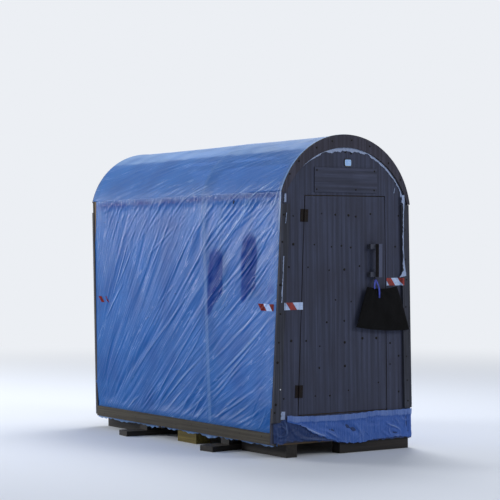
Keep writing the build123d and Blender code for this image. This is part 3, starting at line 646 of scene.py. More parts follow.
def side_wrinkles(u, v, side):
    """All the wrinkles of one side, outward in mm, and how creased it is; v starts at the spring line."""
    rng = np.random.default_rng(11 if side < 0 else 29)
    sheet = (u, v, np.zeros_like(u), np.zeros_like(u))
    for strewn in STREWN:
        strew_folds(sheet, rng, *strewn)
    foot_fans(sheet, rng)
    pinches(sheet, rng, 46)
    if side < 0:
        for path, rise, shine in LEFT_CREASES:
            line = curved(path) - np.array([0, SPRING])
            fold(sheet, line, rise, 8.0, shine)
            fold(sheet, line + np.array([34, -12]), rise * 0.45, 6.5, shine * 0.4)
        for path, depth, width in LEFT_HOLLOWS:
            fold(sheet, curved(path) - np.array([0, SPRING]), -depth, width)
    return sheet[2:]


def away(value, low, high, reach):
    """0 on a member of the frame that takes the interval from low to high, 1 well away from it."""
    gap = np.maximum(np.maximum(low - value, value - high), 0)
    return 1 - np.exp(-(gap / reach) ** 2)


def film_lift(way, along):
    """How far the film stands out from its smooth form, in mm, and how creased it is there."""
    base = smooth_film(way, along)
    u, height = base[..., 1].ravel(), base[..., 2].ravel()
    flat_way, flat_along = way.ravel(), along.ravel()
    roof = np.abs(flat_way) <= 1
    v = (1 - np.abs(flat_way)) * np.where(roof, ROOF_HALF, SPRING)
    to_back = (1 - flat_along) * BASE_LENGTH
    middle = MIDDLE_FRAME + height * sin(LEAN)
    haunch = (ROOF_HALF_ANGLE - radians(PURLIN_ANGLE)) * ROOF_RADIUS
    free = away(u, -PLY, TIMBER, 50) * away(u, middle, middle + TIMBER, 32) * away(to_back, -PLY, TIMBER, 50)
    for member in (haunch, ROOF_HALF):
        free = free * away(v, member - TIMBER / 2, member + TIMBER / 2, 40)
    free = free * away(v, -TIMBER, 0, 32) * away(height, 0, DECK, 40)
    bay = np.sin(pi * np.clip(np.where(u < middle, u / middle, to_back / (BASE_LENGTH - middle)), 0, 1))
    share = np.where(v < haunch, v / haunch, (v - haunch) / (ROOF_HALF - haunch))
    facet = np.where(roof, -FACET * np.sin(pi * np.clip(share, 0, 1)) * bay, 0)
    slack = np.where(roof, 0, -SLACK) * free + 3 * free * ripple(u, v, 700, 5)
    wrinkles, crest = np.zeros_like(u), np.zeros_like(u)
    for side, here in ((-1, flat_way < 0), (1, flat_way >= 0)):
        if here.any():
            wrinkles[here], crest[here] = side_wrinkles(u[here], v[here], side)
    clear = step(BATTEN_TOP - 12, BATTEN_TOP + 30, height)
    lift = (wrinkles * (0.4 + 0.6 * free) + slack + facet) * clear
    lift = np.maximum(lift, -DEEPEST[0] - DEEPEST[1] * free - 3 * bay * step(0, 90, v))
    lift = lift * away(u, -PLY, 0, 22) * away(to_back, -PLY, 0, 22)
    lift = lift + edge_reach(flat_way, flat_along, u, height)
    pressed = np.where(roof, 0.36, 0.37 + 0.09 * away(height, 1700, 1700, 600))
    on_stud = pressed * np.exp(-((u - middle - TIMBER / 2) / 30) ** 4)
    # Painted highlight along the film where it wraps over the front panel's edge
    rim_highlight = 0.85 * np.exp(-((u + 4) / 13) ** 2) * step(1250, 1600, height)
    crest = np.maximum(crest * clear, np.maximum(on_stud * clear, rim_highlight))
    return lift.reshape(way.shape), crest.reshape(way.shape)


def film_soil(way, along):
    """Painted shade on the film, from 0 to 1: a band just under the spring line, over the stringer, and the
    shadows of the cloths hung behind it.
    """
    base = smooth_film(way, along)
    height = base[..., 2]
    v = (1 - np.abs(way)) * SPRING
    u = along * BASE_LENGTH
    crease = CREASE_FRONT + (CREASE_BACK - CREASE_FRONT) * along - SPRING
    uneven = 0.58 + 0.22 * ripple(u, v, 240, 21) + 0.16 * ripple(u, v, 45, 22)
    soil = np.clip(uneven, 0.3, 0.95) * np.exp(-((v - crease) / 26) ** 2)
    for place, half, top, foot, slope, depth in SHADOWS:
        across = (base[..., 1] - place) / half
        bend = 0.12 * ripple(height, 0 * u, 170, 90 + half)
        low = foot + slope * (1 - across) / 2 + 22 * ripple(across * half, 0 * u, 60, 95)
        within = step(0, 70, top - 50 * across ** 2 - height) * step(0, 35, height - low)
        within = within * step(0, 0.28, 1 + bend - np.abs(across)) * (way < -1)
        soil = np.maximum(soil, within * depth * (0.88 + 0.12 * ripple(u, v, 70, 23)))
    return soil


def film_frost(way, along):
    """Paling, from 0 to 1: painted sky sheen over the crown strip and, less, on the haunches; and paler film
    at the ragged foot.
    """
    edge = PURLIN_ANGLE / np.degrees(ROOF_HALF_ANGLE)
    over = step(0, 0.05, edge + 0.01 * ripple(along * BASE_LENGTH, 0, 160, 31) - np.abs(way))
    foot = step(0, 30, (np.abs(way) - 2) * SPRING + 14)
    haunch = 0.09 * step(0, 0.03, 1 - np.abs(way)) * (1 - over)
    return over * (0.44 + 0.1 * ripple(way * ROOF_HALF, along * BASE_LENGTH, 200, 32)) + 0.5 * foot + haunch


def edge_reach(way, along, u, height):
    """How far the film is drawn out at its ends to wrap over the edges of the two panels."""
    half = FRONT_SECTION[0]
    rise = np.clip((height - PANEL_FOOT) / (SPRING - PANEL_FOOT), 0, 1)
    foot_half = np.where(way < 0, PANEL_FOOT_HALF[-1], PANEL_FOOT_HALF[1])
    skin = wall_half(height, half, SPRING)
    front_edge = foot_half + (half + 2 - foot_half) * rise
    back_edge = BACK_FOOT_HALF + (BACK_SECTION[0] + 2 - BACK_FOOT_HALF) * rise
    wall = np.abs(way) > 1
    above = step(BATTEN_TOP + 6, BATTEN_TOP + 190, height)
    front, back = [np.where(wall, (edge + 1 - skin) * above, 3.0) for edge in (front_edge, back_edge)]
    near_front = np.where(wall, np.clip(1 - u / 430, 0, 1) ** 1.5, np.clip(1 - u / 40, 0, 1))
    near_back = np.clip(1 - (1 - along) * BASE_LENGTH / 60, 0, 1)
    return front * near_front + back * near_back


def film_points(way, along, out=0.0):
    """Points of the wrinkled film in metres, out from its surface by some millimetres, and its creases."""
    nudge = 1e-3
    across_way = smooth_film(way + nudge, along) - smooth_film(way - nudge, along)
    normal = np.stack([-across_way[..., 2], np.zeros_like(way), across_way[..., 0]], axis=-1)
    normal /= np.maximum(np.linalg.norm(normal, axis=-1, keepdims=True), 1e-9)
    lift, crest = film_lift(way, along)
    points = smooth_film(way, along) + normal * (lift + out)[..., None]
    return points * MM + np.array([0, START, SILL]), crest


def film_pull(way, along):
    """Coordinates across and along the pull of the film, in metres."""
    u = smooth_film(way, along)[..., 1]
    wall_v = (1 - np.abs(way)) * SPRING
    roof_v = (1 - np.abs(way)) * ROOF_HALF
    bearing = np.arctan2(wall_v - FAN[1], FAN[0] - u)
    distance = np.hypot(wall_v - FAN[1], FAN[0] - u)
    on_wall = np.stack([bearing * 2600 - 110 * np.exp(wall_v / 240), distance], axis=-1)
    slant = roof_pull(BASE_LENGTH / 2, 0.3 * ROOF_HALF)
    on_roof = np.stack([u * sin(slant) + roof_v * cos(slant), u * -cos(slant) + roof_v * sin(slant)], axis=-1)
    return np.where((np.abs(way) > 1)[..., None], on_wall, on_roof) * MM


SEAM = 1e-4                 # height of the row of the film where its two grains meet, as a share of a wall


def film_strip(name, ends, counts):
    """Film over a part of its girth in rows, counted from each end to the next, with a ragged hem."""
    spans = [np.linspace(*span, endpoint=False) for span in zip(ends, ends[1:], counts)]
    ways = np.concatenate([*spans, ends[-1:]])
    end_reach = PLY / BASE_LENGTH
    way, along = np.meshgrid(ways, np.linspace(-end_reach, 1 + end_reach, 300), indexing="ij")
    ragged = 13 + 9 * ripple(along * BASE_LENGTH, 0, 260, 3) + 6 * ripple(along * BASE_LENGTH, 0, 60, 4)
    hem = np.clip((np.abs(way) - 1.97) / 0.03, 0, 1)
    way = way + np.sign(way) * hem * np.clip(ragged, 1, 30) / SPRING
    points, crest = film_points(way, along)
    mesh = grid_mesh(
        name, points, film_pull(way, along), mirror_at=np.count_nonzero(ways < 0),
        crest=crest, soil=film_soil(way, along), frost=film_frost(way, along),
    )
    return piece_from(name, mesh, [cover_film])


def make_cover():
    """The film from the left foot board over the roof to the right spring line, and down the right wall."""
    left = film_strip("cover_film", [-2, -1 - SEAM, -1, -0.5, 0, 1], [212, 1, 56, 24, 34])
    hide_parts("cover_left", "cover_haunch_left", "cover_crown", "cover_haunch_right")
    right = film_strip("cover_film_right", [1, 1 + SEAM, 2], [1, 229])
    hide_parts("cover_right")
    return left


# Skirt of film nailed under the door: (x, height) of its top and foot, and its folds as points, rise,
# width and whiteness
SKIRT_TOP = [(-498, 200), (-421, 190), (-274, 183), (-62, 182), (81, 182), (171, 186), (263, 192), (401, 188),
             (574, 190)]
SKIRT_LOW = [(-498, 158), (-421, 136), (-361, 118), (-308, 83), (-256, 59), (-168, 25), (-62, -4), (36, -21),
             (135, -20), (226, -5), (309, -3), (448, -1), (574, -9)]
SKIRT_FOLDS = [
    ([(-400, 132), (-361, 116), (-300, 88), (-221, 54), (-151, 36)], 9.0, 10, 1.0),
    ([(-186, 84), (-115, 50), (-44, 4)], 6.0, 10, 0.55),
    ([(-250, 112), (-180, 90), (-60, 78)], -4.0, 13, 0.0),
    ([(254, 122), (250, 80), (256, 26)], 4.0, 8, 0.35), ([(-60, 120), (30, 90), (130, 30)], -6.0, 20, 0.0),
    ([(60, 110), (120, 60), (150, -6)], 4.5, 10, 0.45), ([(150, 124), (210, 108), (330, 112)], -4.0, 12, 0.0),
    ([(340, 112), (390, 84), (448, 62), (484, 22)], 8.0, 8, 0.8),
    ([(383, 78), (376, 40), (400, 12)], 6.0, 7, 0.6),
    ([(404, 36), (430, 28), (456, 30)], -8.0, 7, 0.0), ([(400, 14), (440, 8), (486, 6)], 5.0, 7, 0.6),
    ([(508, 182), (520, 100), (508, 20)], 6.0, 7, 0.5), ([(536, 184), (530, 110), (548, 20)], -7.0, 8, 0.0),
    ([(566, 186), (558, 100), (568, 4)], 6.0, 7, 0.4), ([(470, 150), (500, 120), (560, 110)], 5.0, 8, 0.5),
    ([(300, 60), (350, 20), (440, -2)], 4.0, 9, 0.4), ([(420, 132), (450, 110), (470, 70)], 5.0, 9, 0.5),
]
UNDER_TOP = [(-497, 150), (574, 150)]
UNDER_LOW = [(-497, 26), (-404, 22), (-274, 14), (-142, 4), (-62, -7), (40, -14), (574, -12)]
UNDER_FOLDS = [
    ([(-404, 36), (-274, 26), (-142, 13)], 4.5, 7, 0.7), ([(-462, 124), (-440, 80), (-404, 42)], 5.0, 9, 0.5),
    ([(-430, 120), (-380, 70), (-300, 44)], -4.0, 12, 0.0),
]
CORNER_TOP = [(-606, 146), (-585, 152), (-548, 160), (-518, 176), (-470, 158)]
CORNER_LOW = [(-612, 22), (-580, 16), (-532, 6), (-500, 24), (-470, 46)]
CORNER_FOLDS = [
    ([(-588, 120), (-578, 70), (-592, 20)], 11.0, 9, 0.6),
    ([(-562, 150), (-540, 100), (-552, 30)], -9.0, 10, 0.0),
    ([(-520, 168), (-500, 110), (-520, 40)], 10.0, 9, 0.8),
    ([(-600, 84), (-550, 58), (-486, 88)], 7.0, 8, 0.5),
    ([(-566, 112), (-536, 126), (-506, 96), (-524, 62)], 7.0, 7, 0.5),
    ([(-490, 120), (-478, 84), (-490, 50)], -7.0, 8, 0.0),
]
HEM = 42                    # depth of the gathered hem nailed along the skirt's top


def front_film(name, top, low, size, out, folds, seed, finish, hem=0.0):
    """Crumpled film in front of the panel between two lines of (x, height) points."""
    rng = np.random.default_rng(seed)
    left, right = top[0][0], top[-1][0]
    x, share = np.meshgrid(np.linspace(left, right, size[0]), np.linspace(0, 1, size[1]), indexing="ij")
    high = np.interp(x, *zip(*top)) + 1.5 * ripple(x, 0, 45, seed + 3)
    foot = np.interp(x, *zip(*low)) + 4 * ripple(x, 0, 48, seed + 4) + 2 * ripple(x, 0, 15, seed + 5)
    height = high + (foot - high) * share
    lift, crest = np.zeros(x.size), np.zeros(x.size)
    sheet = (x.ravel(), height.ravel(), lift, crest)
    for path, *shape in folds:
        fold(sheet, curved(path), *shape)
    strew_folds(
        sheet, rng, (right - left) // 9, (left, right, foot.min(), high.max()),
        lambda *_: radians(rng.uniform(10, 170)), (20, 110), (0.6, 3.2), 4.5, 0.4,
    )
    soft = 5 * share ** 1.5 + 1.2 * ripple(x, height, 70, seed + 6)
    if hem:
        strew_folds(
            sheet, rng, (right - left) // 7, (left, right, high.max() - HEM, high.max()),
            lambda *_: radians(rng.uniform(75, 105)), (18, 44), (0.8, 2.6), 3.5, 0.6,
        )
        below_hem = step(HEM - 10, HEM + 12, high - height + 5 * ripple(x, 0, 90, seed + 7))
        soft = hem * (1 - below_hem) + soft * below_hem
        pale = 0.5 + 0.07 * ripple(x, 0.2 * height, 80, seed + 8) + 0.05 * ripple(x, 0, 12, seed + 9)
        crest = np.maximum(crest, (np.clip(pale, 0, 1) * (1 - below_hem)).ravel())
    lift = np.maximum(lift + out + soft.ravel(), 0.6).reshape(x.shape)
    pull = np.stack([x, height], axis=-1) * MM
    points, crest = front_points(x, height, lift), crest.reshape(x.shape)
    mesh = grid_mesh(name, points[:, ::-1], pull[:, ::-1], crest=crest[:, ::-1])
    return piece_from(name, mesh, [finish])


def make_skirt():
    """Upper and under sheet of the skirt, and the film crumpled round the left corner."""
    upper = front_film("skirt_film", SKIRT_TOP, SKIRT_LOW, (330, 60), 5, SKIRT_FOLDS, 40, skirt_film, hem=7.0)
    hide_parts("front_skirt")
    under = front_film("skirt_under_film", UNDER_TOP, UNDER_LOW, (200, 40), 1.2, UNDER_FOLDS, 50, under_film)
    corner = front_film("corner_film", CORNER_TOP, CORNER_LOW, (56, 56), 4, CORNER_FOLDS, 60, under_film)


# Bag on the handle, in mm: half widths and middles at its top and foot, and the x of its hook
BAG_TOP = 1053
BAG_HEIGHT = 288
BAG_HALF = (130, 233)
BAG_MIDDLE = (291, 299)
BAG_THICK = 18
BAG_CLEAR = 26
BAG_HOOK = 230
# Strap looped over the hook with a loose tail, and the hook's wire: (x, height, out)
STRAP_LINE = [
    (219, 1040, 46), (214, 1052, 48), (215, 1068, 48), (221, 1086, 44), (228, 1099, 38), (230, 1099, 40),
    (237, 1084, 47), (244, 1064, 50), (249, 1046, 52), (253, 1030, 52), (255, 1004, 51), (256, 976, 49),
]
WIRE_LINE = [(230, 1123, 30), (229, 1108, 34), (228, 1096, 39), (230, 1090, 35)]


def make_bag():
    """Slack cloth bag: a lofted shell, dipped along its top, with folds from the loop and a sagging foot."""
    turns = np.linspace(0, 2 * pi, 110, endpoint=False)
    down, turn = np.meshgrid(np.linspace(0, 1, 56), turns, indexing="ij")
    across = np.sign(np.cos(turn)) * np.abs(np.cos(turn)) ** 0.85
    half = BAG_HALF[0] + (BAG_HALF[1] - BAG_HALF[0]) * down ** 0.95
    middle = BAG_MIDDLE[0] + (BAG_MIDDLE[1] - BAG_MIDDLE[0]) * down
    depth = BAG_THICK / 2 * (0.25 + 0.75 * np.sin(pi * np.clip(down * 0.85 + 0.1, 0, 1)))
    x = middle + half * across
    dip = 15 * (1 - across ** 2) * (1 - down) ** 3
    foot = (16 + 15 * across - 14 * across ** 2) * down ** 3
    reach = np.hypot(x - BAG_HOOK, down * BAG_HEIGHT)
    bearing = np.arctan2(x - BAG_HOOK, 30 + down * BAG_HEIGHT)
    folds = 3.4 * np.sin(13 * bearing + 0.5) * np.exp(-reach / 170) + 2.6 * ripple(x, down * 240, 120, 61)
    side = np.sign(np.sin(turn)) * np.abs(np.sin(turn)) ** 0.6
    out = BAG_CLEAR + BAG_THICK / 2 + side * depth + folds * np.abs(np.sin(turn))
    points = front_points(x, BAG_TOP - BAG_HEIGHT * down - dip - foot, out)
    mesh = grid_mesh("hanging_cloth_bag", points, wrap=True)
    shell = bmesh.new()
    shell.from_mesh(mesh)
    bmesh.ops.holes_fill(shell, edges=[edge for edge in shell.edges if edge.is_boundary], sides=0)
    bag = piece_from("hanging_cloth_bag", write_mesh(shell, mesh), [black_cloth], "door")
    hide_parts("hanging_bag")


def ribbon(name, line, width, thick, finish):
    """Flat strap on the door along (x, height, out) points, facing the front; sizes in mm."""
    points = [on_front(*place) for place in line]
    rings = []
    for before, point, after in zip(points[:1] + points, points, points[1:] + points[-1:]):
        run = (after - before).normalized()
        side = run.cross(Vector((0, 1, 0))).normalized() * width * MM / 2
        out = side.cross(run).normalized() * thick * MM / 2
        rings.append([point + side * a + out * b for a, b in ((-1, -1), (1, -1), (1, 1), (-1, 1))])
    return piece_from(name, tube_mesh(name, rings), [finish], "door")


def make_bag_loop():
    """Blue strap looped over a wire hook under the handle, with a loose tail down the bag."""
    loop = ribbon("bag_loop", STRAP_LINE, 12, 3, blue_strap)
    ribbon("bag_hook", WIRE_LINE, 5, 4, nail_steel)
    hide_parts("bag_clip")


def make_hung_cloths():
    """Two gathered cloths on their straps, close behind the left wall."""
    low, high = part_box("hung_cloths")
    down, across = np.meshgrid(np.linspace(0, 1, 60), np.linspace(-1, 1, 70), indexing="ij")
    for number, (place, strap) in enumerate(HUNG_PLACES):
        drop = strap + CLOTH_DROP
        body = step(strap * 0.86, strap + 20, down * drop)
        y = START + (place + (12 + 88 * body) * across) * MM
        z = high[2] - (down * drop * (1 - 0.02 * across ** 2) + 14 * (1 - down) * across * body) * MM
        folds = np.sin(across * 11 + 1.7 * down + number) * (2 + 6 * body)
        x = low[0] + (11 + folds + 0.8 * ripple(down * 400, across * 90, 90, 70 + number)) * MM
        name = f"hung_cloth_{number + 1}"
        piece = piece_from(name, grid_mesh(name, np.stack([x, y, z], axis=-1)), [dark_cloth])
        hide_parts("hung_cloths")


# Torn film beside and under the boards of the front: (x, height) points, widths, distance out and seed
ON_PANEL = 0.6
ON_BOARD = BOARD_FACE + 1.2
# Line under the arch band: height of its centre, and its radius, less to the right of the joint at 21 degrees
BAND_CENTRE = 1460
BAND_JOINT = (21, 28)
BAND_RADIUS = (552, 546)
ARCH_TORN = [     # degrees from the crown, and width
    (-42, 1), (-36, 7), (-18, 11), (-13, 26), (8, 25), (21, 19), (26, 13), (45, 13), (60, 12), (66, 14),
]
TORN_EDGES = {
    "film_scrap": ([(-508, 226), (-510, 172)], [30, 42], ON_PANEL, 92),
    "film_shred": ([(432, 1742), (424, 1702)], [4, 8], ON_PANEL, 94),
    "film_edge_spring_right": (
        [(500, 1690), (502, 1640), (496, 1560), (494, 1470), (494, 1330), (500, 1230), (512, 1160),
         (518, 1124)],
        [24, 20, 9, 8, 9, 14, 30, 40], ON_BOARD, 84,
    ),
    "film_edge_spring_left": ([(-500, 1690), (-498, 1632)], [14, 22], ON_PANEL, 86),
    "film_edge_left_high": ([(-508, 1560), (-516, 1490)], [6, 9], ON_BOARD, 88),
    "film_edge_left": ([(-530, 1270), (-546, 958)], [7, 9], ON_BOARD, 90),
}


def film_sliver(name, path, widths, out, seed):
    """Ragged strip of film along a line of (x, height) points of the front."""
    path = np.array(path, dtype=float)
    place = places_along(path)
    fine = np.linspace(0, place[-1], max(int(place[-1] / 4), 6))
    line = np.stack([np.interp(fine, place, path[:, axis]) for axis in (0, 1)], axis=-1)
    tears = ((0.35, 90, seed), (0.22, 24, seed + 1), (0.12, 9, seed + 3))
    torn = 1 + sum(size * ripple(fine, 0, length, number) for size, length, number in tears)
    wide = np.interp(fine, place, widths) * np.clip(torn, 0.3, 1.8)
    run = np.gradient(line, axis=0)
    run /= np.linalg.norm(run, axis=1, keepdims=True)
    share = np.linspace(0, 1, 5)
    x = line[:, :1] + run[:, 1:] * wide[:, None] * share
    height = line[:, 1:] - run[:, :1] * wide[:, None] * share
    lift = out + 2.6 * share + 1.6 * ripple(x, height, 26, seed + 2)
    points = front_points(x, height, np.maximum(lift, out))
    mesh = grid_mesh(name, points, np.stack([x, height], axis=-1) * MM, crest=np.full_like(x, 0.5))
    return piece_from(name, mesh, [edge_film])


def make_film_edges(cover):
    """Torn edge of the film under the arch band and over the edges of the corner boards."""
    turns = np.linspace(-42, 66, 90)
    radius, angles = np.interp(turns, BAND_JOINT, BAND_RADIUS), np.radians(turns)
    under_band = np.stack([radius * np.sin(angles), BAND_CENTRE + radius * np.cos(angles)], axis=-1)
    pieces = [film_sliver("film_edge_arch", under_band, np.interp(turns, *zip(*ARCH_TORN)), ON_PANEL, 80)]
    pieces += [film_sliver(name, *torn) for name, torn in TORN_EDGES.items()]


def tape(name, place, reds, whites, start, end, height, slant, finishes):
    """Striped tape: stripes are (left, right) at its top edge, and slant to its foot.

    Place turns arrays of distance along and height up the tape into points in metres."""
    shape = bmesh.new()
    for number, stripes in enumerate((reds, whites)):
        for left, right in stripes:
            corners = [(left, height), (left + slant, 0), (right + slant, 0), (right, height)]
            face = shape.faces.new([shape.verts.new((a, b, 0)) for a, b in corners])
            face.material_index = number
    cuts = [((limit, 0, 0), (side, 0, 0), True) for limit, side in ((start, -1), (end, 1))]
    cuts += [((along, 0, 0), (1, 0, 0), False) for along in np.arange(start + 8, end, 8)]
    cuts += [((0, up, 0), (0, 1, 0), False) for up in np.linspace(0, height, 7)[1:-1]]
    for at, facing, trim in cuts:
        every = list(shape.verts) + list(shape.edges) + list(shape.faces)
        bmesh.ops.bisect_plane(shape, geom=every, plane_co=at, plane_no=facing, clear_outer=trim)
    bmesh.ops.remove_doubles(shape, verts=shape.verts, dist=0.05)
    flat = np.array([vert.co[:2] for vert in shape.verts])
    for vert, point in zip(shape.verts, place(flat[:, 0], flat[:, 1])):
        vert.co = point
    mesh = bpy.data.meshes.new(name)
    shape.to_mesh(mesh)
    shape.free()
    thick = piece_from(name, mesh, finishes).modifiers.new("thickness", "SOLIDIFY")
    thick.thickness = 0.4 * MM
    thick.offset = 0


def on_left_film(u, height):
    """Points just outside the left film, u mm behind the front and at a height."""
    u, height = np.broadcast_arrays(np.asarray(u, float), np.asarray(height, float))
    points, _ = film_points(-2 + height / SPRING, u / BASE_LENGTH, out=1.8)
    return points


def make_tapes():
    """Short lengths of red and white tape on the front, its corner boards and the left film."""
    bright, scuffed_shaded = [tape_red, tape_white], [tape_shaded, tape_white_shaded]
    panel, board = 1.4, BOARD_FACE + 1.6
    tape(
        "tape_front_left", lambda a, b: front_points(a, 907 + b, np.interp(a, [-518, -510], [board, panel])),
        [(-503, -447)], [(-600, -503), (-447, -340)], -528, -362, 50, 37, bright,
    )
    tape(
        "tape_front_right", lambda a, b: front_points(a, 1058 + b, np.interp(a, [474, 487], [panel, board])),
        [(343, 397), (455, 520)], [(300, 343), (397, 455)], 357, 500, 53, 37, bright,
    )
    tape(
        "tape_left_front", lambda a, b: on_left_film(252 - a, 899 + b),
        [(17, 92), (170, 270)], [(92, 170)], 0, 236, 47, 48, scuffed_shaded,
    )
    tape(
        "tape_left_back", lambda a, b: on_left_film(2384 - a, 902 + b),
        [(0, 42), (96, 112)], [], 0, 150, 47, 40, scuffed_shaded,
    )


# Boards behind the gaps of the door, in mm: x of both ends, distances behind the face, foot and top
STOP_ENDS = (-412, 370)
STOP_DEPTHS = (14, 30)
STOP_HEIGHTS = {"door_stop": (1656, 1682), "door_threshold": (DECK, 207)}


def make_stops():
    """Stop under the header and threshold on the deck: thin sawn boards, a little bowed, with eased edges."""
    near, far = STOP_DEPTHS
    for name, (foot, top) in STOP_HEIGHTS.items():
        rings = []
        for share in np.linspace(0, 1, 25):
            x = STOP_ENDS[0] + (STOP_ENDS[1] - STOP_ENDS[0]) * share
            bow = 0.8 * sin(pi * share) + 0.3 * sin(5 * pi * share)
            corners = ((near, foot), (far, foot), (far, top), (near, top))
            rings.append([on_front(x, height, -(behind + bow)) for behind, height in corners])
        ease(piece_from(name, tube_mesh(name, rings), [framing_across]), 1.2)


# Nail heads that show in the photograph: (x, height, radius), in mm
DOOR_NAILS = [
    (-204, 1557, 5), (-89, 1550, 6), (24, 1546, 8), (87, 1538, 6), (215, 1556, 6), (-265, 1346, 5),
    (-121, 1331, 5), (-36, 1337, 7), (44, 1325, 6), (-318, 1193, 5), (-140, 1171, 5), (-11, 1174, 8),
    (120, 1196, 6), (-86, 967, 5), (48, 953, 5), (-161, 816, 6), (-11, 822, 6), (-333, 695, 7),
    (-219, 655, 5), (-7, 674, 8), (146, 697, 8), (268, 695, 8), (-223, 508, 6), (-5, 512, 8), (286, 385, 5),
    (25, 343, 5), (-134, 315, 6), (-257, 318, 5),
]
WALL_NAILS = [
    (-476, 1196, 7), (-441, 1349, 8), (-457, 699, 8), (-518, 312, 5), (434, 1329, 6), (462, 1545, 5),
    (467, 564, 7), (390, 656, 6), (390, 509, 5), (467, 313, 6), (-441, 1540, 5),
]
BOARD_NAILS = [
    (-544, 1365, 7), (-560, 1078, 8), (-559, 884, 7), (-571, 692, 7), (-583, 559, 8), (-597, 278, 10),
    (-606, 225, 6), (-532, 1547, 6),
]
HEAD_SIZES = [((5,), 6), ((6, 7), 7.5), ((8, 10), 9.5)]      # radii as listed, and as made
ARCH_NAILS = [(46, 2062), (-253, 2003), (-400, 1908), (-475, 1821), (202, 2024), (368, 1912), (474, 1798),
              (-120, 2052)]
# Screws of the sign and the panel: (x, height, out)
SIGN_SCREWS = [(-248, 1852, 6), (-250, 1722, 6), (246, 1852, 6), (243, 1720, 6), (84, 1722, 6), (-5, 1979, 3),
               (46, 1971, 3), (506, 1025, 1)]
FILM_MARKS = [(1280, 991), (1659, 801), (2269, 1536), (2074, 1535)]    # small dark marks on the left film
FILM_NAIL = [(541, 1642), (534, 1653)]
# Hinges: heights of their middles, and the x of the leaning pin at a height
HINGE_HEIGHTS = (355, 1544)
PIN_X, PIN_HEIGHT, PIN_LEAN = -401.3, 197, 55 / 1479
HINGE_SCREWS = ((-28, 19), (0, 25), (28, 19))     # each screw up from the middle, and out from the pin
HINGE_FACE = 2.5
TO_FRONT = (0, -1, 0)
TO_LEFT = (-1, 0, 0)
BRIGHT_SCREW = (-560, 377)
DOME_RINGS = ((1.0, -0.3), (1.0, 0.45), (0.62, 0.9))     # shares of the radius and the height of a head


def domes(name, places, facing, radius, height, finish=nail_steel, body="hut"):
    """Small domed heads joined in one mesh; their radius and height are in mm."""
    facing = Vector(facing)
    side = facing.orthogonal().normalized()
    other = facing.cross(side)
    spokes = [side * cos(turn) + other * sin(turn) for turn in np.linspace(0, 2 * pi, 10, endpoint=False)]
    shell = bmesh.new()
    for place in map(Vector, places):
        rings = [[place + spoke * radius * MM * share + facing * height * MM * rise for spoke in spokes]
                 for share, rise in DOME_RINGS]
        add_tube(shell, rings, place + facing * height * MM)
    mesh = write_mesh(shell, bpy.data.meshes.new(name))
    smooth_shade(mesh)
    piece_from(name, mesh, [finish], body)


def make_fixings():
    """Nails of the door, walls, boards and arch, and the screws of the hinges and sign."""
    rng = np.random.default_rng(7)
    for name, nails, out, body in (
        ("door_nails", DOOR_NAILS, 0, "door"), ("wall_nails", WALL_NAILS, 0, "hut"),
        ("board_nails", BOARD_NAILS, BOARD_FACE, "hut"),
    ):
        for number, (listed, radius) in enumerate(HEAD_SIZES, start=1):
            places = [on_front(x, height, out) for x, height, size in nails if size in listed]
            if places:
                domes(f"{name}_{number}", places, TO_FRONT, radius, 1.6, body=body)
    right_nails = []
    for height in range(240, 1600, 170):
        edge = PANEL_FOOT_HALF[1] + (FRONT_SECTION[0] - PANEL_FOOT_HALF[1]) * height / SPRING
        right_nails.append(on_front(edge - 34 + rng.normal(0, 9), height + rng.normal(0, 22), BOARD_FACE))
    domes("arch_nails", [on_front(*nail, ARCH_FACE) for nail in ARCH_NAILS], TO_FRONT, 7, 1.6)
    domes("right_board_nails", right_nails, TO_FRONT, 6, 1.6)
    domes("film_staples", on_left_film(*zip(*FILM_MARKS)), TO_LEFT, 4, 1.5)
    domes("film_nail", on_left_film(*zip(*FILM_NAIL)), TO_LEFT, 7, 3)
    domes("sign_screws", [on_front(*place) for place in SIGN_SCREWS], TO_FRONT, 6.5, 1.8)
    domes("bright_screw", [on_front(*BRIGHT_SCREW, BOARD_FACE)], TO_FRONT, 5, 2, plated_steel)
    for label, side, body in (("wall", -1, "hut"), ("door", 1, "door")):
        places = [on_front(PIN_X + PIN_LEAN * (height - PIN_HEIGHT) + side * spread, height + up, HINGE_FACE)
                  for height in HINGE_HEIGHTS for up, spread in HINGE_SCREWS]
        domes(f"hinge_screws_{label}", places, TO_FRONT, 4, 1.1, body=body)
    for label, side, corner in (("left", -1, 0), ("right", 1, 1)):
        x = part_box("side_battens")[corner][0]
        places = [(x, START + nail * MM, SILL + rng.uniform(26, 52) * MM) for nail in FOOT_NAILS]
        domes(f"foot_nails_{label}", places, (side, 0, 0), 4.5, 1.8)


REFLECTOR_SIZE = (64, 7, 54)
REFLECTOR_PLACE = (17, 1907)


def make_reflector():
    """Small white reflector over the sign, with rounded corners, in a dark frame that partly stands in for
    the shadow round it.
    """
    thick = REFLECTOR_SIZE[1]
    shell = bmesh.new()
    bmesh.ops.create_cube(shell, size=MM)
    bmesh.ops.scale(shell, verts=shell.verts, vec=REFLECTOR_SIZE)
    corners = [edge for edge in shell.edges if abs(edge.verts[0].co.y - edge.verts[1].co.y) > thick * MM / 2]
    bmesh.ops.bevel(shell, geom=corners, offset=14 * MM, segments=5, affect="EDGES", profile=0.5)
    front = [face for face in shell.faces if face.normal.y < -0.9]
    bmesh.ops.inset_region(shell, faces=front, thickness=6 * MM, depth=-1.5 * MM)
    for face in front:
        face.material_index = 1
    bmesh.ops.translate(shell, verts=shell.verts, vec=on_front(*REFLECTOR_PLACE, thick / 2))
    mesh = write_mesh(shell, bpy.data.meshes.new("reflector"))
    ease(piece_from("reflector", mesh, [rim_and_shadow_plastic, lens_white]), 1.2, segments=3)


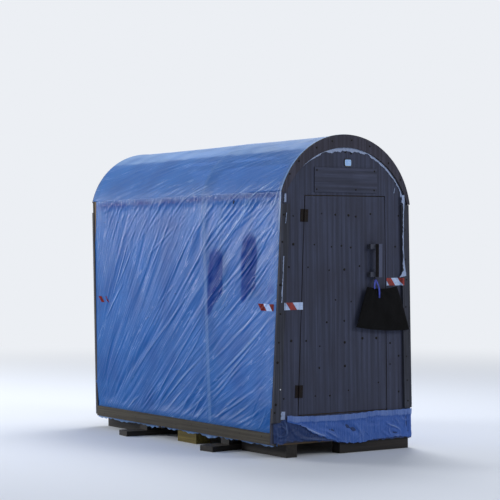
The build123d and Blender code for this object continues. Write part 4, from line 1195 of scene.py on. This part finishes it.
# Camera, lights and stage
CAMERA_PLACE = (-7.323, -10.966, 1.503)
CAMERA_YAW = 34.03          # degrees from +Y towards +X
CAMERA_DIP = 0.502
FOCAL_PIXELS = 1765         # at the photograph's 500 pixels
SENSOR = 36
BACKDROP = "#eceff4"
FLOOR_REACH = 150
# Soft white lamps, raking from behind the left wall, low behind, weak in front and on top: place, aim,
# size, power and share in highlights
LIGHTS = {
    "left_light": ((-6.0, 6.8, 3.4), (-0.4, 0, 1.0), (3, 2.4), 430, 0.35),
    "back_light": ((-1.3, 9.5, 2.6), (-0.6, 0.5, 1.2), (2.4, 1.4), 150, 0.6),
    "front_light": ((4.2, -8.5, 5.5), (0, -1, 0.8), (4, 3), 230, 0.6),
    "top_light": ((2.0, 2.0, 7.0), (0.2, 0, 1.8), (3, 3), 340, 1.0),
}


def placed(name, data):
    """Adds an object to the scene that holds a camera, a lamp or a mesh."""
    holder = bpy.data.objects.new(name, data)
    bpy.context.scene.collection.objects.link(holder)
    return holder


def make_camera():
    """Camera at the photograph's place and angle."""
    lens = bpy.data.cameras.new("camera")
    lens.sensor_width = SENSOR
    lens.lens = FOCAL_PIXELS / 500 * SENSOR
    lens.clip_end = 500
    camera = placed("camera", lens)
    camera.location = CAMERA_PLACE
    camera.rotation_euler = (radians(90 - CAMERA_DIP), 0, radians(-CAMERA_YAW))
    bpy.context.scene.camera = camera


def make_lights():
    """Rectangular lamps, each turned towards its aim."""
    for name, (place, aim, size, power, gloss) in LIGHTS.items():
        lamp = bpy.data.lights.new(name, "AREA")
        lamp.shape = "RECTANGLE"
        lamp.size, lamp.size_y = size
        lamp.energy = power
        lamp.specular_factor = gloss
        holder = placed(name, lamp)
        holder.location = place
        holder.rotation_euler = (Vector(aim) - Vector(place)).to_track_quat("-Z", "Y").to_euler()


def seen_rays(owner):
    """Output that is 1 for what the camera, gloss and clear surfaces see."""
    rays = add(owner, "LightPath").node.outputs
    total = rays["Is Camera Ray"]
    for name in ("Is Glossy Ray", "Is Transmission Ray"):
        total = add(owner, "Math", {0: total, 1: rays[name]}, operation="MAXIMUM")
    return total


def make_world():
    """Plain pale surroundings; what the camera and shiny surfaces see is one even tone."""
    world = bpy.data.worlds.new("studio")
    bpy.context.scene.world = world
    world.use_nodes = True
    world.node_tree.nodes.clear()
    lit = add(world, "Background", {"Color": "#dde7f8", "Strength": 0.42})
    shown = add(world, "Background", {"Color": BACKDROP})
    add(world, "OutputWorld", {"Surface": add(world, "MixShader", {0: seen_rays(world), 1: lit, 2: shown})})


def make_floor():
    """Plain pale floor that keeps the hut's shadow and runs into the backdrop with no edge."""
    mesh = bpy.data.meshes.new("floor")
    corners = [(a * FLOOR_REACH, b * FLOOR_REACH, 0) for a, b in ((-1, -1), (1, -1), (1, 1), (-1, 1))]
    mesh.from_pydata(corners, [], [(0, 1, 2, 3)])
    floor = placed("floor", mesh)
    pale = new_material("pale_floor")
    near = add(pale, "BsdfPrincipled", {"Base Color": "#dfe3ea", "Roughness": 0.9, "Specular IOR Level": 0.1})
    distant = add(pale, "Emission", {"Color": BACKDROP})
    place = add(pale, "TexCoord", out="Object")
    distance = add(pale, "VectorMath", {0: place}, out="Value", operation="LENGTH")
    limits = {"Value": distance, "From Min": 3.0, "From Max": 11.0}
    share = add(pale, "MapRange", limits, interpolation_type="SMOOTHSTEP")
    factor = add(pale, "Math", {0: share, 1: seen_rays(pale)}, operation="MULTIPLY")
    mesh.materials.append(close(pale, add(pale, "MixShader", {"Fac": factor, 1: near, 2: distant})))


make_camera()
make_world()
make_lights()
make_floor()
finish_nodes()
make_film_edges(make_cover())
make_skirt()
make_bag()
make_bag_loop()
make_hung_cloths()
make_tapes()
make_fixings()
make_stops()
make_reflector()
bpy.context.scene.view_settings.view_transform = "Standard"
